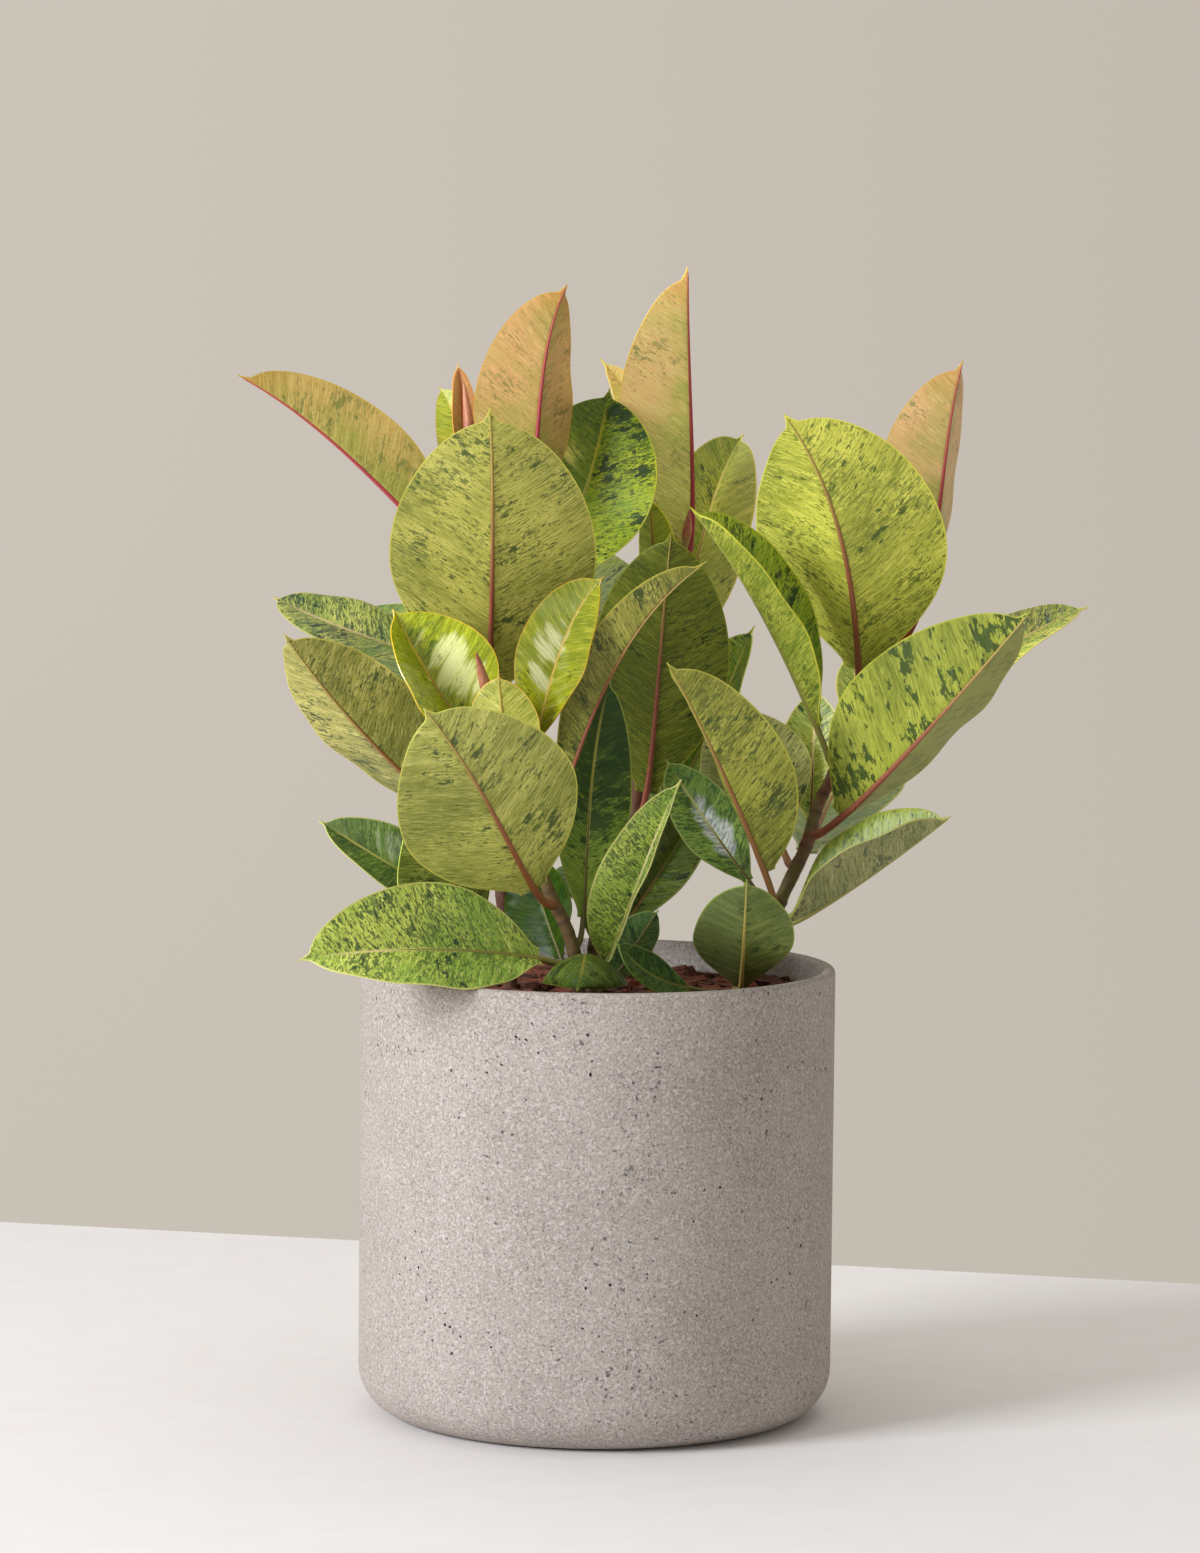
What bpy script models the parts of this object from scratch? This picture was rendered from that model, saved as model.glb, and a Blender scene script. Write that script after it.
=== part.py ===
# Potted rubber plant: a round straight-sided pot of bark with five leafy stems.
# Metres, +Z up. The origin is the centre of the pot's underside and the front faces -Y.

import math
import random
from collections import namedtuple

import bmesh
import bpy
import numpy as np
from mathutils import Matrix

# Sizes and places
MM = 0.001
GAP = 0.3 * MM  # kept between pieces that touch

POT_RADIUS = 120 * MM
POT_HEIGHT = 227.5 * MM
POT_WALL = 6.5 * MM
POT_FLOOR = 9 * MM
POT_FOOT_ROUND = 24 * MM
POT_LIP_ROUND = 2.6 * MM
SEGMENTS = 56  # of the pot and its filling, all round

BARK_BELOW_RIM = 17 * MM
BARK_EDGE = 2 * MM  # cut off the plug's top edge
CHIP_SPACING = 22 * MM
CHIP_ROW_STEP = 0.87  # of the spacing, from row to row
CHIP_SHIFT = 0.25  # of the spacing at most, off its place in the row
CHIP_LENGTH = (17 * MM, 26 * MM)
CHIP_WIDTH = (9 * MM, 14 * MM)
CHIP_THICKNESS = (5 * MM, 8 * MM)
CHIP_NARROWING = (0.7, 0.75, 1)  # of its upper face
CHIP_TILT = 14  # degrees at most
CHIP_SINK = (0 * MM, 2 * MM)  # of its middle under the plug's top
CHIP_SEED = 11
HOLE_ABOVE_BARK = 30 * MM

# Each stem: points in mm from its foot in the bark to its growing tip, and its radius in mm at both ends.
Stem = namedtuple("Stem", "points thick thin")
STEM_STEPS = 14
STEM_SIDES = 8
STEMS = {
    "left": Stem(
        ((-40, 8, 165), (-45, 6, 222), (-52, 4, 300), (-58, 2, 380), (-60, 2, 435), (-65, 9, 478)), 4.0, 2.6),
    "front": Stem(
        ((-4, -36, 165), (-10, -39, 225), (-15, -41, 248), (-26, -45, 272), (-42, -51, 320), (-54, -57, 362)),
        3.6, 2.6),
    "back": Stem(((14, 44, 165), (15, 44, 220), (18, 44, 300), (28, 45, 370), (42, 46, 438)), 4.0, 2.6),
    "right": Stem(
        ((58, -22, 165), (70, -25, 215), (92, -25, 266), (104, -22, 292), (110, -17, 312), (126, -8, 346),
         (138, 0, 388)), 3.8, 2.6),
    "short": Stem(((-4, -16, 175), (-4, -16, 220), (-1, -13, 250), (3, -10, 275)), 3.2, 2.4),
}

# Each leaf, by the stem that it grows on. height: of its root, in mm above the pot's underside. tip: its
# place in mm. width, petiole, bow (+ arches up) and sway (+ to the right, seen from the root with the upper
# side up) in mm. roll (0 has the upper side as level as the leaf lets it), fold (of each half), curl (of the
# margins) and twist (from root to tip) in degrees. widest: its share of the blade. lift: of the petiole
# where it leaves the stem, in degrees.
Leaf = namedtuple("Leaf", "height tip width petiole bow sway roll fold curl twist widest lift colour")
LEAVES = {
    "left": (
        Leaf(422, (-184, 10, 523), 57, 22, 6, -4, 50, 50, 0, 0, 0.45, 35, "young"),
        Leaf(430, (-19, 2, 570), 66, 36, 0, 6, -60, 32, 0, 0, 0.45, 20, "young"),
        Leaf(468, (-74, 25, 530), 16, 10, 0, 0, 0, 20, 0, 0, 0.5, 35, "young"),
        Leaf(450, (-84, 45, 518), 24, 16, 0, 5, -36, 20, 0, 0, 0.5, 35, "green"),
        Leaf(356, (-55, -95, 509), 103, 12, -4, -2, 0, 8, 0, 0, 0.5, 35, "olive"),
        Leaf(385, (3, 33, 518), 72, 36, -5, 7, 60, 12, 0, 0, 0.58, 35, "green"),
        Leaf(288, (-157, -45, 396), 65, 26, 0, 6, 47, 31, 0, 0, 0.5, 35, "olive"),
        Leaf(370, (-168, 40, 410), 37, 22, 4, -6, -40, 20, 0, 0, 0.5, 35, "green"),
        Leaf(248, (-140, -30, 302), 40, 22, 4, -5, -55, 20, 0, 0, 0.5, 35, "dark"),
        Leaf(335, (-128, 128, 402), 80, 24, 4, 0, -10, 12, 0, 0, 0.5, 35, "olive"),
        Leaf(262, (-82, 150, 316), 76, 20, 8, 0, 10, 10, 0, 0, 0.48, 30, "green"),
        Leaf(228, (-90, -50, 314), 60, 20, 0, 0, 80, 10, 0, 0, 0.5, 10, "olive"),
    ),
    "front": (
        Leaf(336, (-103, -51, 409), 68, 10, -4, -1, -50, 35, 0, 0, 0.5, 35, "gloss"),
        Leaf(322, (-50, -80, 379), 36, 8, 0, 0, 0, 10, 0, 0, 0.5, 35, "gloss"),
        Leaf(264, (-84, -150, 367), 90, 20, -8, -4, 42, 6, 0, 0, 0.48, 35, "olive"),
        Leaf(325, (1, -70, 427), 43, 22, 0, -9, 80, 20, 0, 0, 0.5, 35, "gloss"),
        Leaf(290, (51, -75, 435), 37, 20, 12, 10, -20, 46, 0, 0, 0.55, 35, "olive"),
        Leaf(241, (5, -20, 375), 42, 14, 0, -5, 63, 12, 0, 0, 0.5, 35, "dark"),
        Leaf(232, (-145, -115, 242), 67, 18, 7.5, 2, -53, 27, 0, 0, 0.48, 38, "green"),
        Leaf(226, (-10, -98, 226), 52, 8, 17, -4, 0, -8, -55, 0, 0.6, 20, "dark"),
        Leaf(226, (-38, -6, 284), 40, 12, 0, 0, -70, 15, 0, 0, 0.5, 35, "dark"),
    ),
    "back": (
        Leaf(300, (35, 15, 447), 72, 14, 0, 0, -32, 10, 0, 0, 0.5, 35, "olive"),
        Leaf(425, (42, 50, 580), 89, 16, 0, 0, -83, 36, 0, 0, 0.4, 35, "young"),
        Leaf(412, (-2, 85, 533), 30, 20, 0, 14, -20, 20, 0, 0, 0.5, 35, "young"),
        Leaf(395, (24, 31, 463), 24, 14, 0, 0, 0, 20, 0, 0, 0.5, 35, "dark"),
        Leaf(352, (74, 138, 494), 60, 30, 10, -6, 25, 35, 0, 0, 0.5, 5, "olive"),
        Leaf(285, (79, 72, 396), 50, 20, 0, 3, 20, 30, 0, 0, 0.5, 35, "olive"),
        Leaf(330, (-20, 165, 440), 84, 24, -4, 0, 0, 14, 0, 0, 0.48, 35, "olive"),
        Leaf(262, (78, 168, 335), 84, 22, 8, 0, 15, 10, 0, 0, 0.48, 30, "green"),
        Leaf(235, (10, 158, 262), 70, 18, 10, 0, -10, 12, 0, 0, 0.5, 20, "dark"),
    ),
    "right": (
        Leaf(368, (88, -70, 507), 102, 12, -4, -14, 17, 20, 0, 0, 0.48, 35, "olive"),
        Leaf(297, (208, -90, 413), 88, 18, -6, 2, -33, 36, 0, 0, 0.44, 35, "olive"),
        Leaf(340, (246, 15, 410), 60, 24, 6, 0, 15, 15, 0, 0, 0.5, 35, "green"),
        Leaf(385, (179, -10, 534), 66, 34, 0, 0, -40, 39, 0, 0, 0.5, 35, "young"),
        Leaf(330, (43, -60, 461), 56, 22, 6, 0, -42, 47, 0, 0, 0.5, 35, "green"),
        Leaf(262, (32, -105, 387), 66, 20, 4, 0, 0, 45, 0, 0, 0.42, 35, "olive"),
        Leaf(258, (33, -28, 334), 33, 16, -6, 0, -80, 15, 0, 0, 0.5, 35, "dark"),
        Leaf(219, (71, -125, 284), 50, 8, -4, 0, 0, 8, 0, 0, 0.5, 0, "olive"),
        Leaf(252, (173, -60, 310), 58, 8, -2, 0, 20, 55, 0, 0, 0.5, 10, "green"),
        Leaf(292, (109, 15, 367), 36, 16, 0, 0, 0, 25, 0, 0, 0.5, 35, "olive"),
        Leaf(345, (131, 50, 383), 22, 12, 0, 0, 14, 20, 0, 0, 0.5, 35, "olive"),
        Leaf(280, (62, 4, 358), 62, 16, 0, 0, 110, 15, 0, 0, 0.5, 35, "olive"),
        Leaf(215, (9, -60, 246), 22, 26, -3, -7, -60, 15, 0, 0, 0.5, 0, "dark"),
        Leaf(276, (140, 140, 330), 70, 24, 10, 0, 10, 12, 0, 0, 0.5, 35, "olive"),
    ),
    "short": (
        Leaf(224, (40, -62, 327), 44, 12, 2, 0, 96, 52, 0, 0, 0.4, 20, "green"),
        Leaf(216, (30, -14, 257), 28, 8, 0, 0, -60, 15, 0, 0, 0.5, 0, "dark"),
        Leaf(228, (18, 30, 280), 36, 10, 0, 0, 0, 15, 0, 0, 0.5, 35, "dark"),
        Leaf(240, (58, 20, 315), 35, 14, 0, 0, 60, 35, 0, 0, 0.5, 10, "olive"),
    ),
}
BLADE_THICKNESS = 0.8 * MM
PETIOLE_RADIUS = 2.0 * MM
KEEL_DEPTH = 1.3 * MM  # of the midrib under the blade's root
KEEL_SWELL = 1.1 * MM  # added to the keel where the petiole runs into the blade
KEEL_SWELL_END = 0.11  # of the blade's length
LEAST_HALF_WIDTH = 0.35 * MM  # of the drip tip
BEND_PLACE = 0.62  # of the way from root to tip, where bow and sway pull the midrib
STATIONS = (0.0, 0.045, 0.15, 0.3, 0.46, 0.62, 0.77, 0.885, 0.95, 1.0)  # shares of the blade's length
BROAD_BLADE = 45 * MM  # blades from this width on have five points across, the others three
BROAD_END = 0.955  # where the blade's oval ends and only the drip tip goes on
FOOT_FULLNESS = 0.68  # of the oval's two ends: 1 runs out in a straight wedge, 0.5 is round
TIP_FULLNESS = 0.54
DRIP_TIP_WIDTH = 0.075  # of the blade's width
DRIP_TIP_LENGTH = 0.12  # of the blade's length, its start hidden in the oval
SPINE_SAMPLES = 64

# The rolled sheath at a stem's end: its length and radius in mm, how far it leans from upright and the
# heading of that lean (0 is +X, 90 is +Y) in degrees.
Bud = namedtuple("Bud", "length radius lean heading")
BUDS = {
    "left": Bud(42, 3.2, 9, 150),
    "front": Bud(28, 2.8, 28, -120),
    "back": Bud(18, 2.4, 5, 60),
    "right": Bud(32, 3.4, 10, 20),
}
BUD_STEPS = 9
BUD_FOOT = 0.7  # of its radius, where it stands on the stem
BUD_TIP = 0.35 * MM

COLOURS = {
    "pot": (0.46, 0.43, 0.40),
    "bark": (0.16, 0.07, 0.04),
    "stem": (0.27, 0.22, 0.10),
    "bud": (0.75, 0.30, 0.18),
    "olive": (0.36, 0.40, 0.12),
    "green": (0.14, 0.25, 0.05),
    "dark": (0.04, 0.09, 0.03),
    "gloss": (0.42, 0.50, 0.12),
    "young": (0.68, 0.42, 0.20),
}
ROUGHNESS = {"pot": 0.9, "bark": 0.85, "stem": 0.6, "bud": 0.5, "olive": 0.5, "green": 0.5, "dark": 0.3,
             "gloss": 0.3, "young": 0.5}


def unit(vector):
    return vector / np.linalg.norm(vector)


def smooth_path(points, count):
    """Evenly spaced points on a Catmull-Rom curve through the given ones."""
    p = np.array(points, float)
    p = np.vstack([2 * p[0] - p[1], p, 2 * p[-1] - p[-2]])
    fine = []
    for a, b, c, d in zip(p, p[1:], p[2:], p[3:]):
        for t in np.linspace(0, 1, 20, endpoint=False):
            fine.append(0.5 * (2 * b + (c - a) * t + (2 * a - 5 * b + 4 * c - d) * t**2
                               + (3 * b - a - 3 * c + d) * t**3))
    fine = np.array(fine + [p[-2]])
    run = np.concatenate([[0], np.cumsum(np.linalg.norm(np.diff(fine, axis=0), axis=1))])
    even = np.linspace(0, run[-1], count)
    return np.stack([np.interp(even, run, fine[:, i]) for i in range(3)], axis=1)


def stem_line(name):
    """The stem's centre points in metres and its radius at each."""
    stem = STEMS[name]
    path = smooth_path(stem.points, STEM_STEPS) * MM
    return path, np.linspace(stem.thick, stem.thin, STEM_STEPS) * MM


def stem_at(name, height):
    """Centre, radius and direction of a stem at a height."""
    path, radius = stem_line(name)
    centre = np.array([np.interp(height, path[:, 2], path[:, i]) for i in range(3)])
    step = int(np.clip(np.searchsorted(path[:, 2], height), 1, STEM_STEPS - 1))
    return centre, np.interp(height, path[:, 2], radius), unit(path[step] - path[step - 1])


def leaf_spine(leaf, stem):
    """A function that gives the frame along a leaf, and the petiole's share of the leaf's length."""
    centre, radius, along = stem_at(stem, leaf.height * MM)
    tip = np.array(leaf.tip) * MM
    axis = unit(tip - centre)
    level = unit(axis * (1, 1, 0))
    upper = unit(np.array([0.0, 0.0, 1.0]) - axis * axis[2])
    roll, twist, lift = np.radians([leaf.roll, leaf.twist, leaf.lift])
    normal = upper * np.cos(roll) + np.cross(axis, upper) * np.sin(roll)
    side = np.cross(axis, normal)
    out = unit(level - along * level.dot(along))
    root = centre + out * (radius + GAP + np.sin(lift) * PETIOLE_RADIUS)
    bend = (normal * leaf.bow + side * leaf.sway) * MM
    p1 = root + (out * np.cos(lift) + along * np.sin(lift)) * leaf.petiole * MM
    p2 = root + (tip - root) * BEND_PLACE + 2 * bend
    t = np.linspace(0, 1, SPINE_SAMPLES)[:, None]
    points = root * (1 - t)**3 + p1 * 3 * t * (1 - t)**2 + p2 * 3 * t**2 * (1 - t) + tip * t**3
    tangents = ((p1 - root) * (1 - t)**2 + (p2 - p1) * 2 * t * (1 - t) + (tip - p2) * t**2)
    run = np.concatenate([[0], np.cumsum(np.linalg.norm(np.diff(points, axis=0), axis=1))])
    share = run / run[-1]
    start = leaf.petiole * MM / run[-1]

    def at(s):
        """Frame at share s of the whole length."""
        point = np.array([np.interp(s, share, points[:, i]) for i in range(3)])
        tangent = unit(np.array([np.interp(s, share, tangents[:, i]) for i in range(3)]))
        turn = twist * (s - 0.5)
        facing = normal * np.cos(turn) + side * np.sin(turn)
        facing = unit(facing - tangent * facing.dot(tangent))
        return point, tangent, facing, np.cross(tangent, facing)

    return at, start


def half_width(s, width, widest):
    """Half the blade's width at share s of its length: an oval, fuller at the tip, with a short drip tip."""
    even = min(s / BROAD_END, 1.0)**(np.log(0.5) / np.log(widest))
    oval = max(0.0, math.sin(math.pi * even))**(FOOT_FULLNESS if even < 0.5 else TIP_FULLNESS)
    drip = DRIP_TIP_WIDTH * min(1.0, (1 - s) / DRIP_TIP_LENGTH)
    return width / 2 * (oval**4 + drip**4)**0.25


def leaf_rings(leaf, stem):
    """Closed rings of points from the petiole's root to the drip tip: across the top, then back below."""
    at, start = leaf_spine(leaf, stem)
    columns = np.linspace(-1, 1, 5 if leaf.width * MM >= BROAD_BLADE else 3)
    turns = math.pi * (1 - (np.arange(2 * len(columns)) + 0.5) / len(columns))
    rings = []
    for s in (0.0, start * 0.5):
        point, _, normal, side = at(s)
        rings.append([point + PETIOLE_RADIUS * (side * np.cos(a) + normal * np.sin(a)) for a in turns])
    fold, curl = np.radians([leaf.fold, leaf.curl])
    for s in STATIONS:
        point, _, normal, side = at(start + (1 - start) * s)
        least = LEAST_HALF_WIDTH if s > 0.5 else PETIOLE_RADIUS
        half = max(half_width(s, leaf.width * MM, leaf.widest), least)
        keel = KEEL_DEPTH * (1 - s) + KEEL_SWELL * (1 - min(s / KEEL_SWELL_END, 1))
        top, below = [], []
        for v in columns:
            steps = np.linspace(0, abs(v), 5)
            slope = fold + curl * (steps[1:] + steps[:-1]) / 2
            out = half * np.sum(np.cos(slope) * np.diff(steps))
            rise = half * np.sum(np.sin(slope) * np.diff(steps))
            end = fold + curl * abs(v) if v else 0.0
            skin = normal * np.cos(end) - side * np.sign(v) * np.sin(end)
            middle = point + side * np.sign(v) * out + normal * rise
            top.append(middle + skin * BLADE_THICKNESS / 2)
            below.append(middle - skin * (BLADE_THICKNESS / 2 + (0 if v else keel)))
        rings.append(top + below[::-1])
    return np.array(rings)


def mesh_object(name, points, faces):
    mesh = bpy.data.meshes.new(name)
    mesh.from_pydata([tuple(p) for p in points], [], faces)
    obj = bpy.data.objects.new(name, mesh)
    bpy.context.scene.collection.objects.link(obj)
    return obj


def finish(obj, kind, smooth_under):
    """Gives the piece its own material of a kind and smooth shading under an angle in degrees."""
    material = bpy.data.materials.new(obj.name)
    material.use_nodes = True
    shader = material.node_tree.nodes["Principled BSDF"]
    shader.inputs["Base Color"].default_value = (*COLOURS[kind], 1.0)
    shader.inputs["Roughness"].default_value = ROUGHNESS[kind]
    obj.data.materials.clear()
    obj.data.materials.append(material)
    obj.data.shade_smooth()
    obj.data.set_sharp_from_angle(angle=math.radians(smooth_under))


def apply_modifiers(obj):
    bpy.context.view_layer.objects.active = obj
    obj.select_set(True)
    for modifier in list(obj.modifiers):
        bpy.ops.object.modifier_apply(modifier=modifier.name)
    obj.select_set(False)


def arc(centre_x, centre_z, radius, start, end, count):
    """Points of a round stretch of a profile, between two angles in degrees."""
    turns = np.radians(np.linspace(start, end, count))
    return [(centre_x + radius * math.cos(a), centre_z + radius * math.sin(a)) for a in turns]


def turned(name, profile):
    """A closed solid turned about Z from (x, z) points."""
    edges = [(i, i + 1) for i in range(len(profile) - 1)]
    mesh = bpy.data.meshes.new(name)
    mesh.from_pydata([(x, 0, z) for x, z in profile], edges, [])
    obj = bpy.data.objects.new(name, mesh)
    bpy.context.scene.collection.objects.link(obj)
    screw = obj.modifiers.new("Turn", "SCREW")
    screw.steps = screw.render_steps = SEGMENTS
    screw.use_merge_vertices = True
    screw.merge_threshold = 0.01 * MM
    apply_modifiers(obj)
    return obj


def tube(name, path, radius, sides):
    """A closed round solid along a rising path, with a radius at each point and flat ends."""
    points, faces = [], []
    for i, centre in enumerate(path):
        along = unit(path[min(i + 1, len(path) - 1)] - path[max(i - 1, 0)])
        across = unit(np.cross((0.0, 1.0, 0.0), along))
        other = np.cross(along, across)
        for a in np.linspace(0, math.tau, sides, endpoint=False):
            points.append(centre + radius[i] * (across * math.cos(a) + other * math.sin(a)))
    for i in range(len(path) - 1):
        for k in range(sides):
            a, b = i * sides + k, i * sides + (k + 1) % sides
            faces.append((a, b, b + sides, a + sides))
    last = (len(path) - 1) * sides
    faces.append(tuple(reversed(range(sides))))
    faces.append(tuple(range(last, last + sides)))
    return mesh_object(name, points, faces)


def make_pot():
    inner = POT_RADIUS - POT_WALL
    inside_round = POT_FOOT_ROUND - POT_WALL
    foot, lip = POT_FOOT_ROUND, POT_LIP_ROUND
    profile = [(0, POT_FLOOR)]
    profile += arc(inner - inside_round, POT_FLOOR + inside_round, inside_round, -90, 0, 4)
    profile += arc(inner + lip, POT_HEIGHT - lip, lip, 180, 90, 3)
    profile += arc(POT_RADIUS - lip, POT_HEIGHT - lip, lip, 90, 0, 3)
    profile += arc(POT_RADIUS - foot, foot, foot, 0, -90, 6)
    profile += [(0, 0)]
    pot = turned("pot", profile)
    finish(pot, "pot", 30)


def make_chip(rng, top, inner, x, y):
    """One chip of bark, a block that narrows upwards; None where it would reach the pot's wall."""
    size = [rng.uniform(*CHIP_LENGTH), rng.uniform(*CHIP_WIDTH), rng.uniform(*CHIP_THICKNESS)]
    turn = Matrix.Rotation(rng.uniform(0, math.tau), 4, "Z")
    tilt = Matrix.Rotation(math.radians(rng.uniform(-CHIP_TILT, CHIP_TILT)), 4, rng.choice("XY"))
    place = Matrix.Translation((x, y, top - rng.uniform(*CHIP_SINK))) @ turn @ tilt
    if math.hypot(x, y) + size[0] / 2 > inner:
        return None
    shape = bmesh.new()
    bmesh.ops.create_cube(shape, size=1)
    bmesh.ops.scale(shape, vec=size, verts=shape.verts)
    bmesh.ops.scale(shape, vec=CHIP_NARROWING, verts=[v for v in shape.verts if v.co.z > 0])
    bmesh.ops.transform(shape, matrix=place, verts=shape.verts)
    mesh = bpy.data.meshes.new("chip")
    shape.to_mesh(mesh)
    shape.free()
    return bpy.data.objects.new("chip", mesh)


def make_bark():
    """The filling: a plug that follows the pot's inside, chips sunk into its top, a hole for each stem."""
    wall = POT_RADIUS - POT_WALL
    inside_round = POT_FOOT_ROUND - POT_WALL
    top = POT_HEIGHT - BARK_BELOW_RIM
    profile = [(0, top), (wall - GAP - BARK_EDGE, top), (wall - GAP, top - BARK_EDGE)]
    profile += arc(wall - inside_round, POT_FLOOR + inside_round, inside_round - GAP, 0, -90, 4)
    profile += [(0, POT_FLOOR + GAP)]
    bark = turned("bark", profile)

    rng = random.Random(CHIP_SEED)
    chips = bpy.data.collections.new("chips")
    bpy.context.scene.collection.children.link(chips)
    rows = int(wall / CHIP_SPACING) + 2
    for i in range(-rows, rows):
        for j in range(-rows, rows):
            x = (i + 0.5 * (j % 2) + rng.uniform(-CHIP_SHIFT, CHIP_SHIFT)) * CHIP_SPACING
            y = (j * CHIP_ROW_STEP + rng.uniform(-CHIP_SHIFT, CHIP_SHIFT)) * CHIP_SPACING
            chip = make_chip(rng, top, wall - BARK_EDGE, x, y)
            if chip:
                chips.objects.link(chip)
    union = bark.modifiers.new("Chips", "BOOLEAN")
    union.operation = "UNION"
    union.solver = "EXACT"
    union.operand_type = "COLLECTION"
    union.collection = chips
    apply_modifiers(bark)
    for chip in list(chips.objects):
        bpy.data.objects.remove(chip)
    bpy.data.collections.remove(chips)

    holes = []
    for name in STEMS:
        path, radius = stem_line(name)
        below = path[0] - unit(path[1] - path[0]) * GAP
        inside = path[:, 2] < top + HOLE_ABOVE_BARK
        path = np.vstack([below, path[1:][inside[1:]]])
        radius = radius[inside] + GAP / math.cos(math.pi / STEM_SIDES)
        hole = tube(f"hole_{name}", path, radius, STEM_SIDES)
        hole.hide_render = True
        hole.display_type = "WIRE"
        cut = bark.modifiers.new(f"Hole {name}", "BOOLEAN")
        cut.operation = "DIFFERENCE"
        cut.solver = "EXACT"
        cut.object = hole
        holes.append(hole)
    apply_modifiers(bark)
    for hole in holes:
        bpy.data.objects.remove(hole)
    finish(bark, "bark", 20)


def make_stem(name):
    path, radius = stem_line(name)
    stem = tube(f"stem_{name}", path, radius, STEM_SIDES)
    finish(stem, "stem", 50)


def make_bud(name, bud):
    """A rolled sheath that stands on the stem's end and narrows to a point with a slight bend."""
    path, _ = stem_line(name)
    along = unit(path[-1] - path[-2])
    lean, heading = math.radians(bud.lean), math.radians(bud.heading)
    aim = np.array([math.sin(lean) * math.cos(heading), math.sin(lean) * math.sin(heading), math.cos(lean)])
    centres, radii = [path[-1] + along * GAP], [bud.radius * BUD_FOOT * MM]
    for share in np.linspace(0, 1, BUD_STEPS)[1:]:
        way = unit(along * (1 - share) + aim * share)
        centres.append(centres[-1] + way * bud.length * MM / (BUD_STEPS - 1))
        swell = math.sin(math.pi * min(1, share / 0.5) / 2) * (1 - BUD_FOOT) + BUD_FOOT
        radii.append(bud.radius * MM * swell * (1 - share**2.2) + BUD_TIP)
    obj = tube(f"bud_{name}", np.array(centres), radii, STEM_SIDES)
    finish(obj, "bud", 50)


def make_leaf(name, leaf, stem):
    rings = leaf_rings(leaf, stem)
    count = rings.shape[1]
    across = count // 2
    faces = []
    for i in range(len(rings) - 1):
        for k in range(count):
            a, b = i * count + k, i * count + (k + 1) % count
            c, d = b + count, a + count
            column = k if k < across else count - 2 - k
            left_half = column < (across - 1) / 2
            if left_half == (k < across):
                faces += [(a, b, c), (a, c, d)]
            else:
                faces += [(a, b, d), (b, c, d)]
    last = (len(rings) - 1) * count
    faces.append(tuple(reversed(range(count))))
    faces.append(tuple(range(last, last + count)))
    obj = mesh_object(name, rings.reshape(-1, 3), faces)
    finish(obj, leaf.colour, 60)


for obj in list(bpy.data.objects):
    bpy.data.objects.remove(obj)

make_pot()
make_bark()
for stem_name in STEMS:
    make_stem(stem_name)
for stem_name, bud in BUDS.items():
    make_bud(stem_name, bud)
for stem_name, leaves in LEAVES.items():
    for number, leaf in enumerate(leaves, 1):
        make_leaf(f"leaf_{stem_name}_{number}", leaf, stem_name)
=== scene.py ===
# Rubber plant in a concrete pot: the finished look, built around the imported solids.
import math
import random
from collections import namedtuple
from itertools import product

import bpy
import numpy as np
from mathutils import Matrix, Vector


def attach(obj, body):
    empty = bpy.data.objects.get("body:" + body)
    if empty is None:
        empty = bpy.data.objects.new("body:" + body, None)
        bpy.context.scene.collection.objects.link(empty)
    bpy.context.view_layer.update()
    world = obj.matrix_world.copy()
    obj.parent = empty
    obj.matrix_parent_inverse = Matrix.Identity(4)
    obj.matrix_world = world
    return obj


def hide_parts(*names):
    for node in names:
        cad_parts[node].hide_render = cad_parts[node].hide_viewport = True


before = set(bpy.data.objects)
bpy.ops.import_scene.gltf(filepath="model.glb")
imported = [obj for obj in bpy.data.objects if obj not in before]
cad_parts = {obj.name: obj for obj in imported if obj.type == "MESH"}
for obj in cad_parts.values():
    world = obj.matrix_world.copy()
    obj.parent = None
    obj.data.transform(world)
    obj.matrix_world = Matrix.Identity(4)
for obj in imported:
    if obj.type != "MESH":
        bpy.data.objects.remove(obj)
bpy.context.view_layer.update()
mm = 0.001
print("solids loaded:", len(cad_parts))


def deselectAll():
    if bpy.context.object and bpy.context.object.mode != "OBJECT":
        bpy.ops.object.mode_set(mode="OBJECT")
    bpy.ops.object.select_all(action="DESELECT")


def pick(*pieces):  # selects these pieces, the first one active
    deselectAll()
    for piece in pieces:
        piece.select_set(True)
    bpy.context.view_layer.objects.active = pieces[0]


def newest(name):  # the primitive that was just added
    bpy.context.object.name = name
    bpy.context.object.data.name = name
    return bpy.context.object


def pickParts(piece, kind, wanted):  # selects only the wanted faces or edges, in edit mode
    bpy.ops.object.mode_set(mode="OBJECT")
    mesh = piece.data
    for part in (*mesh.vertices, *mesh.edges, *mesh.polygons):
        part.select = False
    for part in mesh.polygons if kind == "FACE" else mesh.edges:
        part.select = wanted(part)
    bpy.ops.object.mode_set(mode="EDIT")
    bpy.ops.mesh.select_mode(type=kind)


def pickFaces(piece, wanted):  # by their centre and normal
    pickParts(piece, "FACE", lambda face: wanted(face.center, face.normal))


def pickEdges(piece, wanted):  # by their two ends
    pickParts(piece, "EDGE", lambda edge: wanted(*(piece.data.vertices[i].co for i in edge.vertices)))


def extrudeUp(height):
    bpy.ops.mesh.extrude_region_move(TRANSFORM_OT_translate={"value": (0, 0, height)})


def roundEdges(radius, segments):
    bpy.ops.mesh.bevel(offset=radius, segments=segments, affect="EDGES", clamp_overlap=False)


def faceOutwards():
    bpy.ops.mesh.select_all(action="SELECT")
    bpy.ops.mesh.normals_make_consistent(inside=False)


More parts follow.
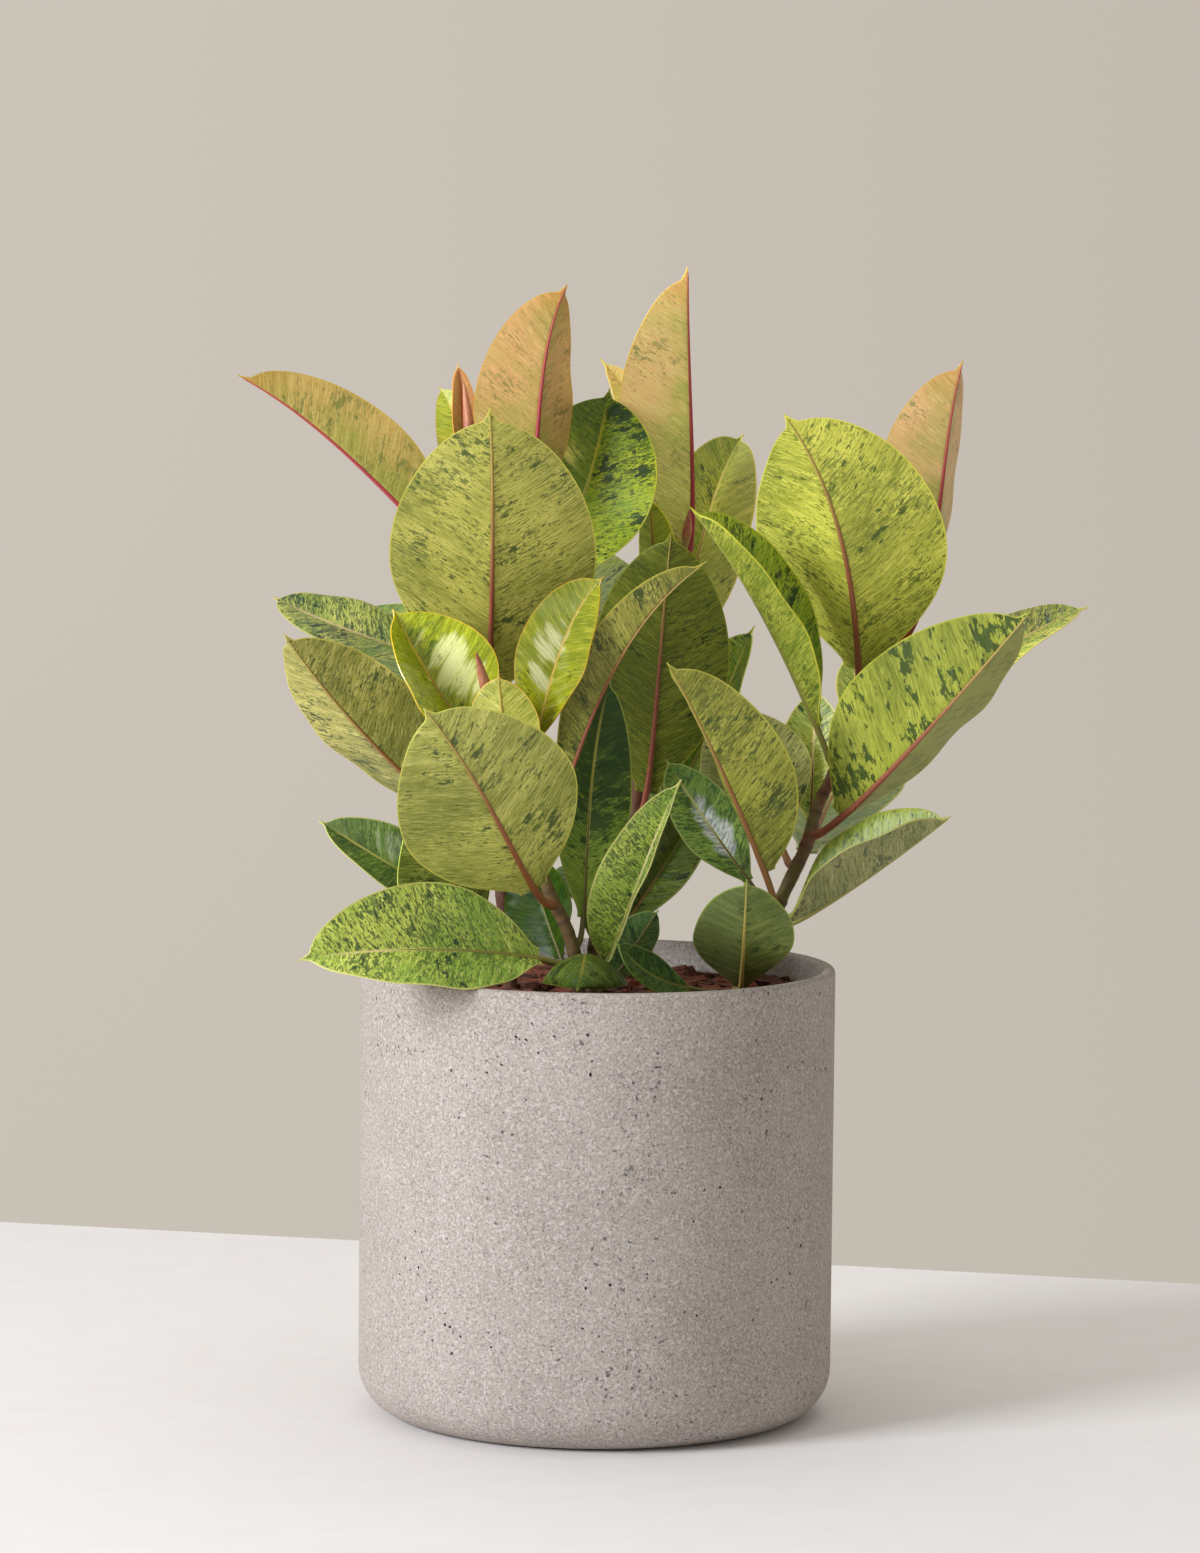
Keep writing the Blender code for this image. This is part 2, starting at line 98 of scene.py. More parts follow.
def copyOf(piece, name):  # a copy with its own mesh
    twin = piece.copy()
    twin.data = piece.data.copy()
    twin.name = twin.data.name = name
    bpy.context.scene.collection.objects.link(twin)
    return twin


def applyPlace(piece):  # leaves the object at the origin with its place in its mesh
    pick(piece)
    bpy.ops.object.transform_apply(location=True, rotation=True, scale=True)


def applyModifiers(piece):
    pick(piece)
    for modifier in list(piece.modifiers):
        bpy.ops.object.modifier_apply(modifier=modifier.name)


def joinAll(pieces, name):
    pick(*pieces)
    bpy.ops.object.join()
    return newest(name)


def cornersOf(piece):  # the mesh's points as an array
    points = np.zeros(len(piece.data.vertices) * 3)
    piece.data.vertices.foreach_get("co", points)
    return points.reshape(-1, 3)


def moveCorners(piece, points):
    piece.data.vertices.foreach_set("co", points.astype(np.float32).ravel())
    piece.data.update()


def writeField(piece, name, values):  # a named vector at each point, which materials read
    field = piece.data.attributes.new(name, "FLOAT_VECTOR", "POINT")
    field.data.foreach_set("vector", values.astype(np.float32).ravel())


def unit(v):
    return v / np.linalg.norm(v, axis=-1, keepdims=True)


def smooth(x):
    x = np.clip(x, 0, 1)
    return x * x * (3 - 2 * x)


def dress(piece, material):
    piece.data.materials.clear()
    piece.data.materials.append(material)


def finish(piece, node, smoothUnder):  # smooths it, and lets it stand for its solid
    pick(piece)
    bpy.ops.object.shade_smooth_by_angle(angle=math.radians(smoothUnder))
    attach(piece, "root")
    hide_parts(node)


def rgb(r, g, b):  # a screen colour, 0 to 255, as the shader's linear one
    shares = [c / 255 for c in (r, g, b)]
    return (*(c / 12.92 if c < 0.04045 else ((c + 0.055) / 1.055)**2.4 for c in shares), 1.0)


class Wire:  # one output socket that Python's operators work on
    tree = None

    def __init__(self, socket):
        self.socket = socket

    @classmethod
    def node(cls, kind, settings=None, values=None, out=0):
        made = cls.tree.nodes.new("ShaderNode" + kind)
        for key, value in (settings or {}).items():
            setattr(made, key, value)
        for key, value in (values or {}).items():
            if isinstance(value, Wire):
                cls.tree.links.new(value.socket, made.inputs[key])
            else:
                made.inputs[key].default_value = value
        return cls(made.outputs[out])

    def maths(self, operation, *others):
        values = {0: self, **{i + 1: other for i, other in enumerate(others)}}
        return Wire.node("Math", {"operation": operation}, values)

    def __add__(self, other):
        return self.maths("ADD", other)

    def __mul__(self, other):
        return self.maths("MULTIPLY", other)

    def __sub__(self, other):
        return self.maths("SUBTRACT", other)

    def __rsub__(self, other):
        return Wire.node("Math", {"operation": "SUBTRACT"}, {0: other, 1: self})

    def __abs__(self):
        return self.maths("ABSOLUTE")

    def __mod__(self, other):
        return self.maths("FLOORED_MODULO", other)

    __radd__ = __add__
    __rmul__ = __mul__

    def over(self, low, high):  # 0 under low, 1 past high, smooth between
        return Wire.node("MapRange", {"interpolation_type": "SMOOTHSTEP"},
                         {"Value": self, "From Min": low, "From Max": high})

    def mix(self, a, b):  # colours a to b, with this as the share of b
        return Wire.node("Mix", {"data_type": "RGBA", "clamp_factor": True}, {0: self, 6: a, 7: b}, 2)

    def times(self, other):  # component by component
        return Wire.node("VectorMath", {"operation": "MULTIPLY"}, {0: self, 1: other})

    def split(self):
        return [Wire(socket) for socket in Wire.node("SeparateXYZ", None, {0: self}).socket.node.outputs]


def pack(x, y, z):
    return Wire.node("CombineXYZ", None, {0: x, 1: y, 2: z})


def noise(vector, scale, detail, roughness=0.5):
    return Wire.node("TexNoise", None, {"Vector": vector, "Scale": scale, "Detail": detail,
                                        "Roughness": roughness})


def field(name):
    return Wire.node("Attribute", {"attribute_name": name}, None, 1)


def objectPoint():
    return Wire.node("TexCoord", None, None, 3)


def bump(height, strength, distance):
    return Wire.node("Bump", None, {"Strength": strength, "Distance": distance, "Height": height})


def newMaterial(name):  # an empty material; returns it with its shader
    material = bpy.data.materials.new(name)
    material.use_nodes = True
    Wire.tree = material.node_tree
    return material, material.node_tree.nodes["Principled BSDF"]


def plug(shader, **inputs):
    names = {"baseColor": "Base Color", "roughness": "Roughness", "normal": "Normal", "coat": "Coat Weight",
             "coatRoughness": "Coat Roughness", "specular": "Specular IOR Level",
             "emission": "Emission Color", "emissionStrength": "Emission Strength"}
    for key, value in inputs.items():
        if isinstance(value, Wire):
            Wire.tree.links.new(value.socket, shader.inputs[names[key]])
        else:
            shader.inputs[names[key]].default_value = value


cameraLook = {
    "place": (0, -2.561, 0.534),
    "pitchDown": 4.71,  # degrees
    "roll": 0.56,
    "lens": 118.06,
}

setLook = {
    "tableColours": (rgb(238, 236, 234), rgb(237, 233, 231)),
    "tableBack": ((-0.366, 0.539), (0.352, 0.367)),  # two points of the table's far edge
    "tableSize": (9, 5, 0.04),
    # The wall glows with painted light: brighter at the left, where the key lamp stands, darker to the right
    # and towards the table.
    "wallLeft": rgb(205, 197, 186),
    "wallRight": rgb(194, 186, 175),
    "wallLow": rgb(196, 188, 177),  # towards the table
    "wallAcross": (-1.5, 1.7),  # where its left tone ends and its right one begins
    "wallUp": (-1.2, 0.6),  # where its low tone fades out
    "wallDistance": 6.5,
    "wallMiddle": 6,
    "floorDrop": 2.2,
    "planeSize": 24,  # of the wall and the ground
    "aim": (0, 0, 0.3),  # what both lamps face
    "keyPlace": (-2.5, -1.66, 1.42),
    "keySize": 1.15,
    "keyPower": 98.0,
    "keyColour": (0.95, 0.98, 1.05),
    "topPlace": (0.2, 0.3, 2.4),
    "topSize": 1.6,
    "topPower": 13.0,
    "topColour": (1.0, 0.98, 0.97),
    "worldColour": (1.0, 0.97, 0.93),
    "worldStrength": 0.43,
}


def makeCamera(look):
    turn = Matrix.Rotation(math.radians(90 - look["pitchDown"]), 3, "X") @ Matrix.Rotation(
        math.radians(look["roll"]), 3, "Z")
    bpy.ops.object.camera_add(location=look["place"], rotation=turn.to_euler())
    camera = bpy.context.object
    camera.data.lens = look["lens"]
    camera.data.sensor_width = 36
    bpy.context.scene.camera = camera


def makeSet(look):
    left, right = (Vector((*p, 0)) for p in look["tableBack"])
    turn = math.atan2(right.y - left.y, right.x - left.x)
    forwards = Vector((math.sin(turn), -math.cos(turn), 0))
    deselectAll()
    bpy.ops.mesh.primitive_cube_add(size=1)
    table = newest("table")
    table.scale = look["tableSize"]
    table.rotation_euler = (0, 0, turn)
    middle = (left + right) / 2 + forwards * look["tableSize"][1] / 2
    table.location = (middle.x, middle.y, -look["tableSize"][2] / 2)
    bpy.ops.mesh.primitive_plane_add(size=look["planeSize"], location=(0, 0, -look["floorDrop"]))
    ground = newest("ground")
    bpy.ops.mesh.primitive_plane_add(size=look["planeSize"], rotation=(math.radians(90), 0, 0),
                                     location=(0, look["wallDistance"], look["wallMiddle"]))
    wall = newest("wall")

    paper, shader = newMaterial("setTable")
    grain = noise(objectPoint(), 40.0, 3.0)
    plug(shader, baseColor=grain.over(0.2, 0.8).mix(*look["tableColours"]), roughness=0.75)
    paint, shader = newMaterial("setWall")  # shines by itself, so its tone stays even
    x, y, z = objectPoint().split()
    # painted light: the glow is brighter at the left, darker to the right and towards the table
    tone = x.over(*look["wallAcross"]).mix(look["wallLeft"], look["wallRight"])
    tone = ((1 - z.over(*look["wallUp"])) * 0.4).mix(tone, look["wallLow"])
    plug(shader, baseColor=(0, 0, 0, 1), emission=tone, emissionStrength=1.0, roughness=1.0, specular=0.0)
    for piece, material in ((table, paper), (ground, paper), (wall, paint)):
        applyPlace(piece)
        dress(piece, material)

    for light in ("key", "top"):
        bpy.ops.object.light_add(type="AREA", location=look[light + "Place"])
        lamp = bpy.context.object
        lamp.name = light
        lamp.data.size = look[light + "Size"]
        lamp.data.energy = look[light + "Power"]
        lamp.data.color = look[light + "Colour"]
        lamp.rotation_euler = (Vector(look["aim"]) - lamp.location).to_track_quat("-Z", "Y").to_euler()
        lamp.visible_camera = False
    world = bpy.data.worlds.new("studio")
    bpy.context.scene.world = world
    world.use_nodes = True
    background = world.node_tree.nodes["Background"]
    background.inputs["Color"].default_value = (*look["worldColour"], 1)
    background.inputs["Strength"].default_value = look["worldStrength"]
    bpy.context.scene.view_settings.view_transform = "Standard"


makeCamera(cameraLook)
makeSet(setLook)
print("camera and set made")


potLook = {
    "radius": 120 * mm,
    "height": 227.5 * mm,
    "wall": 6.5 * mm,
    "floor": 9 * mm,
    "footRound": 24 * mm,
    "lipRound": 2.6 * mm,
    "footSteps": 12,  # faces round each rounding
    "innerSteps": 8,
    "lipSteps": 5,
    "sides": 256,
    # groups of air holes: heading in degrees (-90 faces the camera), height, spread across and up in mm,
    # and how many
    "holeGroups": (
        (-158, 190, 10, 22, 10), (-122, 183, 30, 16, 11), (-100, 196, 34, 14, 10), (-136, 92, 26, 18, 9),
        (-86, 78, 34, 26, 14), (-38, 92, 16, 30, 13), (-128, 58, 14, 18, 7), (-102, 50, 26, 12, 8),
        (-62, 128, 30, 30, 8), (20, 120, 60, 60, 18), (70, 90, 60, 60, 18), (120, 130, 60, 60, 18),
        (170, 90, 60, 60, 18),
    ),
    "holeRadius": (0.35 * mm, 0.95 * mm),
    "holeSeed": 5,
    "holeLowest": 30 * mm,
    "holeBelowRim": 8 * mm,
    # painted shade inside the air holes comes in between these depths
    "holeShadeDepths": (0.06 * mm, 0.22 * mm),  # depths between which a hole gets its colour
    "holesAbove": (24 * mm, 26 * mm),  # clear of the rounded foot
    "holesBelow": (222 * mm, 223 * mm),  # clear of the rounded lip
    "holesWithin": (3 * mm, 2.9 * mm),  # of the outside, clear of the inner wall
    "colourLight": rgb(177, 167, 159),
    "colourMid": rgb(168, 158, 150),
    "grainPale": rgb(212, 205, 199),
    "grainDark": rgb(104, 95, 89),
    # painted shade of the air holes and pores
    "hole": rgb(48, 42, 38),
}


def cutAirHoles(pot, look):
    bpy.ops.mesh.primitive_ico_sphere_add(subdivisions=1, radius=1)
    bubble = newest("airHole")
    draw = random.Random(look["holeSeed"])
    bubbles = []
    for heading, height, across, up, count in look["holeGroups"]:
        for _ in range(count):
            turn = math.radians(heading) + draw.gauss(0, across * mm / 2) / look["radius"]
            z = max(height * mm + draw.gauss(0, up * mm / 2), look["holeLowest"])
            z = min(z, look["height"] - look["holeBelowRim"])
            size = draw.uniform(*look["holeRadius"])
            place = Vector((math.cos(turn), math.sin(turn), 0)) * (look["radius"] + size * 0.15)
            hole = copyOf(bubble, "airHole")
            hole.scale = (size, size * draw.uniform(0.8, 1.5), size * draw.uniform(0.7, 1.2))
            hole.rotation_euler = (draw.uniform(0, 3), 0, turn)
            hole.location = (place.x, place.y, z)
            bubbles.append(hole)
    bpy.data.objects.remove(bubble)
    holes = joinAll(bubbles, "airHoles")
    applyPlace(holes)
    cut = pot.modifiers.new("air holes", "BOOLEAN")
    cut.operation, cut.object, cut.solver = "DIFFERENCE", holes, "EXACT"
    cut.use_self = True
    applyModifiers(pot)
    bpy.data.objects.remove(holes)


def makeConcrete(look):
    concrete, shader = newMaterial("concrete")
    point = objectPoint()
    x, y, z = point.split()
    clouds = noise(point, 20.0, 3.0, 0.6)
    grain = noise(point, 620.0, 2.0, 0.6)
    grit = noise(point, 900.0, 1.0)
    pores = noise(point, 340.0, 3.0, 0.6) + noise(pack(x * 26, y * 26, z * 18), 1.0, 2.0) * 0.35
    colour = clouds.over(0.3, 0.7).mix(look["colourMid"], look["colourLight"])
    colour = (grain.over(0.5, 0.64) * 0.55).mix(colour, look["grainPale"])
    colour = (grit.over(0.52, 0.66) * 0.5).mix(colour, look["grainDark"])
    # dark pores: painted shade of small pits, which the bump also sinks
    colour = (pores.over(0.85, 0.88) * 0.7).mix(colour, look["hole"])
    radius = (x * x + y * y).maths("SQRT")
    # painted shade inside the cut air holes, darker with depth below the outside, clear of the foot, the lip
    # and the inner wall
    sunk = (look["radius"] - radius).over(*look["holeShadeDepths"]) * z.over(*look["holesAbove"])
    sunk = sunk * (1 - z.over(*look["holesBelow"]))
    sunk = sunk * radius.over(*(look["radius"] - depth for depth in look["holesWithin"]))
    colour = (sunk * 0.95).mix(colour, look["hole"])
    height = grain * 0.4 + grit * 0.3 - pores.over(0.84, 0.88)
    plug(shader, baseColor=colour, roughness=0.86 + grain * 0.1, normal=bump(height, 0.4, 0.0006),
         specular=0.25)
    return concrete


def makePot(look):
    deselectAll()
    bpy.ops.mesh.primitive_cylinder_add(vertices=look["sides"], radius=look["radius"], depth=look["height"],
                                        location=(0, 0, look["height"] / 2))
    pot = newest("concretePot")
    applyPlace(pot)
    pickFaces(pot, lambda centre, normal: normal.z > 0.5)
    bpy.ops.mesh.inset(thickness=look["wall"])
    extrudeUp(look["floor"] - look["height"])
    near = 1e-5
    betweenWalls = look["radius"] - look["wall"] * 1.5
    innerWall = look["radius"] - look["wall"]
    pickEdges(pot, lambda a, b: max(a.z, b.z) < near and a.xy.length > betweenWalls)
    roundEdges(look["footRound"], look["footSteps"])
    pickEdges(pot, lambda a, b: abs(a.z - look["floor"]) < near and abs(b.z - look["floor"]) < near
              and a.xy.length < innerWall + 1e-4)
    roundEdges(look["footRound"] - look["wall"], look["innerSteps"])
    pickEdges(pot, lambda a, b: min(a.z, b.z) > look["height"] - near
              and abs(a.xy.length - b.xy.length) < 1e-4)
    roundEdges(look["lipRound"], look["lipSteps"])
    faceOutwards()
    bpy.ops.object.mode_set(mode="OBJECT")
    cutAirHoles(pot, look)
    dress(pot, makeConcrete(look))
    finish(pot, "pot", 32)


makePot(potLook)
print("pot made")


barkLook = {
    "radius": 113.2 * mm,
    "top": 210.5 * mm,
    "bottom": 9.3 * mm,
    "footRound": 17 * mm,
    "bedSides": 96,
    "bedRings": 7,  # of faces on the bed's top
    "bedRing": 14 * mm,  # width of each
    "chipKinds": 5,
    "chipUneven": 0.16,  # of a chip's size
    "layerHeights": (-1.2 * mm, 1.2 * mm),  # from the bed's top
    "upperLeftOut": 0.45,  # share of the chips
    "chipSeed": 21,
    "spacing": 12 * mm,
    "long": (13 * mm, 26 * mm),
    "wide": (8 * mm, 14 * mm),
    "thick": (3.5 * mm, 7 * mm),
    "tilt": 16,  # degrees
    "colours": (rgb(146, 84, 62), rgb(104, 54, 40), rgb(66, 36, 28)),
    "edge": rgb(176, 118, 88),
}


def makeChipKind(look, number):  # one unit-sized flake, narrower at the top
    bpy.ops.mesh.primitive_cube_add(size=1)
    chip = newest("chipKind")
    bpy.ops.object.mode_set(mode="EDIT")
    bpy.ops.mesh.select_all(action="SELECT")
    bpy.ops.mesh.subdivide(number_cuts=1)
    bpy.ops.transform.vertex_random(offset=look["chipUneven"], uniform=0.8, seed=number)
    pickFaces(chip, lambda centre, normal: centre.z > 0.3)
    bpy.ops.transform.resize(value=(0.78, 0.82, 1))
    bpy.ops.object.mode_set(mode="OBJECT")
    return chip


def makeBarkBed(look):
    deselectAll()
    bpy.ops.mesh.primitive_cylinder_add(vertices=look["bedSides"], radius=look["radius"],
                                        depth=look["top"] - look["bottom"],
                                        location=(0, 0, (look["top"] + look["bottom"]) / 2))
    bed = newest("barkBed")
    applyPlace(bed)
    pickEdges(bed, lambda a, b: max(a.z, b.z) < look["bottom"] + 1e-5)
    roundEdges(look["footRound"], 6)
    for step in range(look["bedRings"]):
        middle = look["radius"] * (0.1 if step == 0 else 0.02)  # the one face that is left at the centre
        pickFaces(bed, lambda centre, normal: normal.z > 0.9 and centre.z > look["top"] - 1e-4
                  and centre.xy.length < middle)
        bpy.ops.mesh.inset(thickness=look["bedRing"])
    bpy.ops.object.mode_set(mode="OBJECT")
    writeField(bed, "chipTone", np.zeros((len(bed.data.vertices), 3)))
    return bed


def scatterChips(look):  # two layers of flakes over the bed, each with a tone of its own
    kinds = [makeChipKind(look, number) for number in range(look["chipKinds"])]
    draw = random.Random(look["chipSeed"])
    chips = []
    rows = int(look["radius"] / look["spacing"]) + 2
    steps = range(-rows, rows + 1)
    for layer, i, j in product((0, 1), steps, steps):
        x = (i + 0.5 * (j % 2) + draw.uniform(-0.4, 0.4)) * look["spacing"]
        y = (j * 0.87 + draw.uniform(-0.4, 0.4)) * look["spacing"]
        size = Vector([draw.uniform(*look[side]) for side in ("long", "wide", "thick")])
        reach = look["radius"] - size.x * 0.52
        away = math.hypot(x, y)
        if away > look["radius"] + 2 * mm or (layer == 1 and draw.random() < look["upperLeftOut"]):
            continue
        if away > reach:
            x, y = x * reach / away, y * reach / away
        chip = copyOf(draw.choice(kinds), "chip")
        chip.scale = size
        chip.rotation_euler = (math.radians(draw.gauss(0, look["tilt"] / 2)),
                               math.radians(draw.gauss(0, look["tilt"] / 2)), draw.uniform(0, math.tau))
        chip.location = (x, y, look["top"] + look["layerHeights"][layer])
        chips.append(chip)
    for kind in kinds:
        bpy.data.objects.remove(kind)
    heap = joinAll(chips, "barkChips")
    applyPlace(heap)
    each = len(heap.data.vertices) // len(chips)
    shade = np.repeat([draw.random() for _ in chips], each)
    own = np.repeat([[draw.uniform(-9, 9) for _ in range(3)] for _ in chips], each, axis=0)
    writeField(heap, "chipTone", np.stack([shade, own[:, 0], own[:, 1]], axis=1))
    return heap


def makeBarkSkin(look):
    material, shader = newMaterial("barkSkin")
    point = objectPoint()
    tone, a, b = field("chipTone").split()
    x, y, z = point.split()
    grain = noise(pack(x * 420 + a, y * 420 + b, z * 1500), 1.0, 4.0, 0.65)
    crumbs = noise(point, 260.0, 4.0, 0.6)
    low, mid, dark = look["colours"]
    colour = tone.over(0.15, 0.75).mix(dark, mid)
    colour = (tone.over(0.55, 1.0) * 0.8).mix(colour, low)
    colour = (grain.over(0.45, 0.75) * 0.6).mix(colour, look["edge"])
    colour = (crumbs.over(0.52, 0.75) * 0.55).mix(colour, dark)
    plug(shader, baseColor=colour, roughness=0.82 + grain * 0.15,
         normal=bump(grain * 0.6 + crumbs * 0.5, 0.6, 0.0012), specular=0.25)
    return material


def makeBark(look):
    bark = joinAll([makeBarkBed(look), scatterChips(look)], "bark_chips")
    dress(bark, makeBarkSkin(look))
    finish(bark, "bark", 25)


makeBark(barkLook)
print("bark made")


Stem = namedtuple("Stem", "points thick thin")  # points in mm from the foot up, radius in mm at both ends
stems = {
    "left": Stem(((-40, 8, 165), (-45, 6, 222), (-52, 4, 300), (-58, 2, 380), (-60, 2, 435), (-65, 9, 478)),
                 4.0, 2.6),
    "front": Stem(((-4, -36, 165), (-10, -39, 225), (-15, -41, 248), (-26, -45, 272), (-42, -51, 320),
                   (-54, -57, 362)), 3.6, 2.6),
    "back": Stem(((14, 44, 165), (15, 44, 220), (18, 44, 300), (28, 45, 370), (42, 46, 438)), 4.0, 2.6),
    "right": Stem(((58, -22, 165), (70, -25, 215), (92, -25, 266), (104, -22, 292), (110, -17, 312),
                   (126, -8, 346), (138, 0, 388)), 3.8, 2.6),
    "short": Stem(((-4, -16, 175), (-4, -16, 220), (-1, -13, 250), (3, -10, 275)), 3.2, 2.4),
}
stemSteps = 14  # of the solid stem's own line

stemLook = {
    "sides": 16,
    "rings": 120,
    "firstRing": 6 * mm,  # from the foot
    "ringGap": 9 * mm,  # between the scars that old sheaths left
    "ringHeight": 0.35 * mm,
    "ringWidth": 0.9 * mm,
    "knotWidth": 3.2 * mm,  # of the swelling at each leaf
    "knotSwell": 0.1,  # of the radius
    "bark": rgb(98, 60, 42),
    "young": rgb(118, 104, 56),
    "red": rgb(120, 62, 46),
    "green": rgb(112, 112, 48),
    "scar": rgb(74, 48, 38),
    "fibre": rgb(150, 120, 84),
    "cork": rgb(70, 50, 38),
    "fresh": {"right": 0.9, "front": 0.3},  # how green the lower part is
}


def smoothPath(points, count):  # evenly spaced points on a smooth curve through the given ones
    p = np.array(points, float)
    p = np.vstack([2 * p[0] - p[1], p, 2 * p[-1] - p[-2]])
    fine = []
    for a, b, c, d in zip(p, p[1:], p[2:], p[3:]):
        for t in np.linspace(0, 1, 20, endpoint=False):
            fine.append(0.5 * (2 * b + (c - a) * t + (2 * a - 5 * b + 4 * c - d) * t**2
                               + (3 * b - a - 3 * c + d) * t**3))
    fine = np.array(fine + [p[-2]])
    run = np.concatenate([[0], np.cumsum(np.linalg.norm(np.diff(fine, axis=0), axis=1))])
    even = np.linspace(0, run[-1], count)
    return np.stack([np.interp(even, run, fine[:, i]) for i in range(3)], axis=1)


def stemAt(name, height):  # centre, radius and direction of a stem at a height
    stem = stems[name]
    path = smoothPath(stem.points, stemSteps) * mm
    radius = np.linspace(stem.thick, stem.thin, stemSteps) * mm
    centre = np.array([np.interp(height, path[:, 2], path[:, i]) for i in range(3)])
    step = int(np.clip(np.searchsorted(path[:, 2], height), 1, stemSteps - 1))
    return centre, np.interp(height, path[:, 2], radius), unit(path[step] - path[step - 1])


def makeRod(name, sides, rings):  # a straight rod of radius 1 and length 1, ring by ring
    deselectAll()
    bpy.ops.mesh.primitive_circle_add(vertices=sides, radius=1, fill_type="NGON")
    rod = newest(name)
    bpy.ops.object.mode_set(mode="EDIT")
    bpy.ops.mesh.select_all(action="SELECT")
    for _ in range(rings):
        extrudeUp(1 / rings)
    faceOutwards()
    bpy.ops.object.mode_set(mode="OBJECT")
    return rod


def bendRod(rod, centres, normals, sides, radii, ripple=None):  # lays a straight rod along a line
    points = cornersOf(rod)
    share = np.clip(points[:, 2], 0, 1) * (len(centres) - 1)
    low = np.floor(share + 1e-4).astype(int).clip(0, len(centres) - 2)
    part = (share - low)[:, None]

    def between(values):
        return values[low] * (1 - part) + values[low + 1] * part

    radius = between(np.asarray(radii)[:, None])
    if ripple is not None:
        radius = radius * ripple(np.arctan2(points[:, 1], points[:, 0]), points[:, 2])[:, None]
    out = points[:, :1] * between(sides) + points[:, 1:2] * between(normals)
    moveCorners(rod, between(centres) + radius * out)


def crossingDirections(path):  # two at each point of a rising line
    along = unit(np.gradient(path, axis=0))
    across = unit(np.cross(np.array([0.0, 1.0, 0.0]), along))
    return np.cross(along, across), across


def makeStemSkin(look):
    material, shader = newMaterial("stemSkin")
    share, scar, fresh = field("stemPlace").split()
    point = objectPoint()
    x, y, z = point.split()
    fine = noise(pack(x, y, z * 0.25), 700.0, 3.0, 0.6)
    clouds = noise(point, 55.0, 3.0, 0.6)
    corky = noise(point, 420.0, 4.0, 0.6)
    colour = share.over(0.3, 0.75).mix(look["bark"], look["young"])
    colour = (clouds.over(0.45, 0.62) * share.over(0.35, 0.6)).mix(colour, look["red"])
    colour = (fresh * (1 - share.over(0.35, 0.6))).mix(colour, look["green"])
    colour = (fine.over(0.5, 0.75) * 0.28).mix(colour, look["fibre"])
    colour = (scar * 0.8).mix(colour, look["scar"])
    colour = (corky.over(0.6, 0.72) * 0.5).mix(colour, look["cork"])
    plug(shader, baseColor=colour, roughness=0.55 + fine * 0.2, normal=bump(fine + corky, 0.4, 0.0008))
    return material


def makeStems(look):
    rod = makeRod("stemRod", look["sides"], look["rings"])
    material = makeStemSkin(look)
    for number, (name, stem) in enumerate(stems.items()):
        path = smoothPath(stem.points, look["rings"] + 1) * mm
        run = np.linspace(0, 1, len(path))
        length = np.sum(np.linalg.norm(np.diff(path, axis=0), axis=1))
        scar = np.zeros(len(path))
        draw = random.Random(number)
        place = look["firstRing"]
        while place < length:
            scar = np.maximum(scar, np.exp(-((run * length - place) / look["ringWidth"])**2))
            place += look["ringGap"] * draw.uniform(0.6, 1.5)
        heights = np.array([leaf.height * mm for leaf in leaves[name]])
        knots = np.exp(-((path[:, 2][:, None] - heights) / look["knotWidth"])**2).max(axis=1)
        radii = np.linspace(stem.thick, stem.thin, len(path)) * mm
        radii = radii * (1 + look["knotSwell"] * knots) + scar * look["ringHeight"]
        radii[-1] *= 0.5
        piece = copyOf(rod, f"stem_{name}_grown")
        share = np.clip(cornersOf(piece)[:, 2], 0, 1)
        bendRod(piece, path, *crossingDirections(path), radii)
        fresh = np.full(len(share), look["fresh"].get(name, 0))
        writeField(piece, "stemPlace", np.stack([share, np.interp(share, run, scar), fresh], axis=1))
        dress(piece, material)
        finish(piece, f"stem_{name}", 60)
    bpy.data.objects.remove(rod)


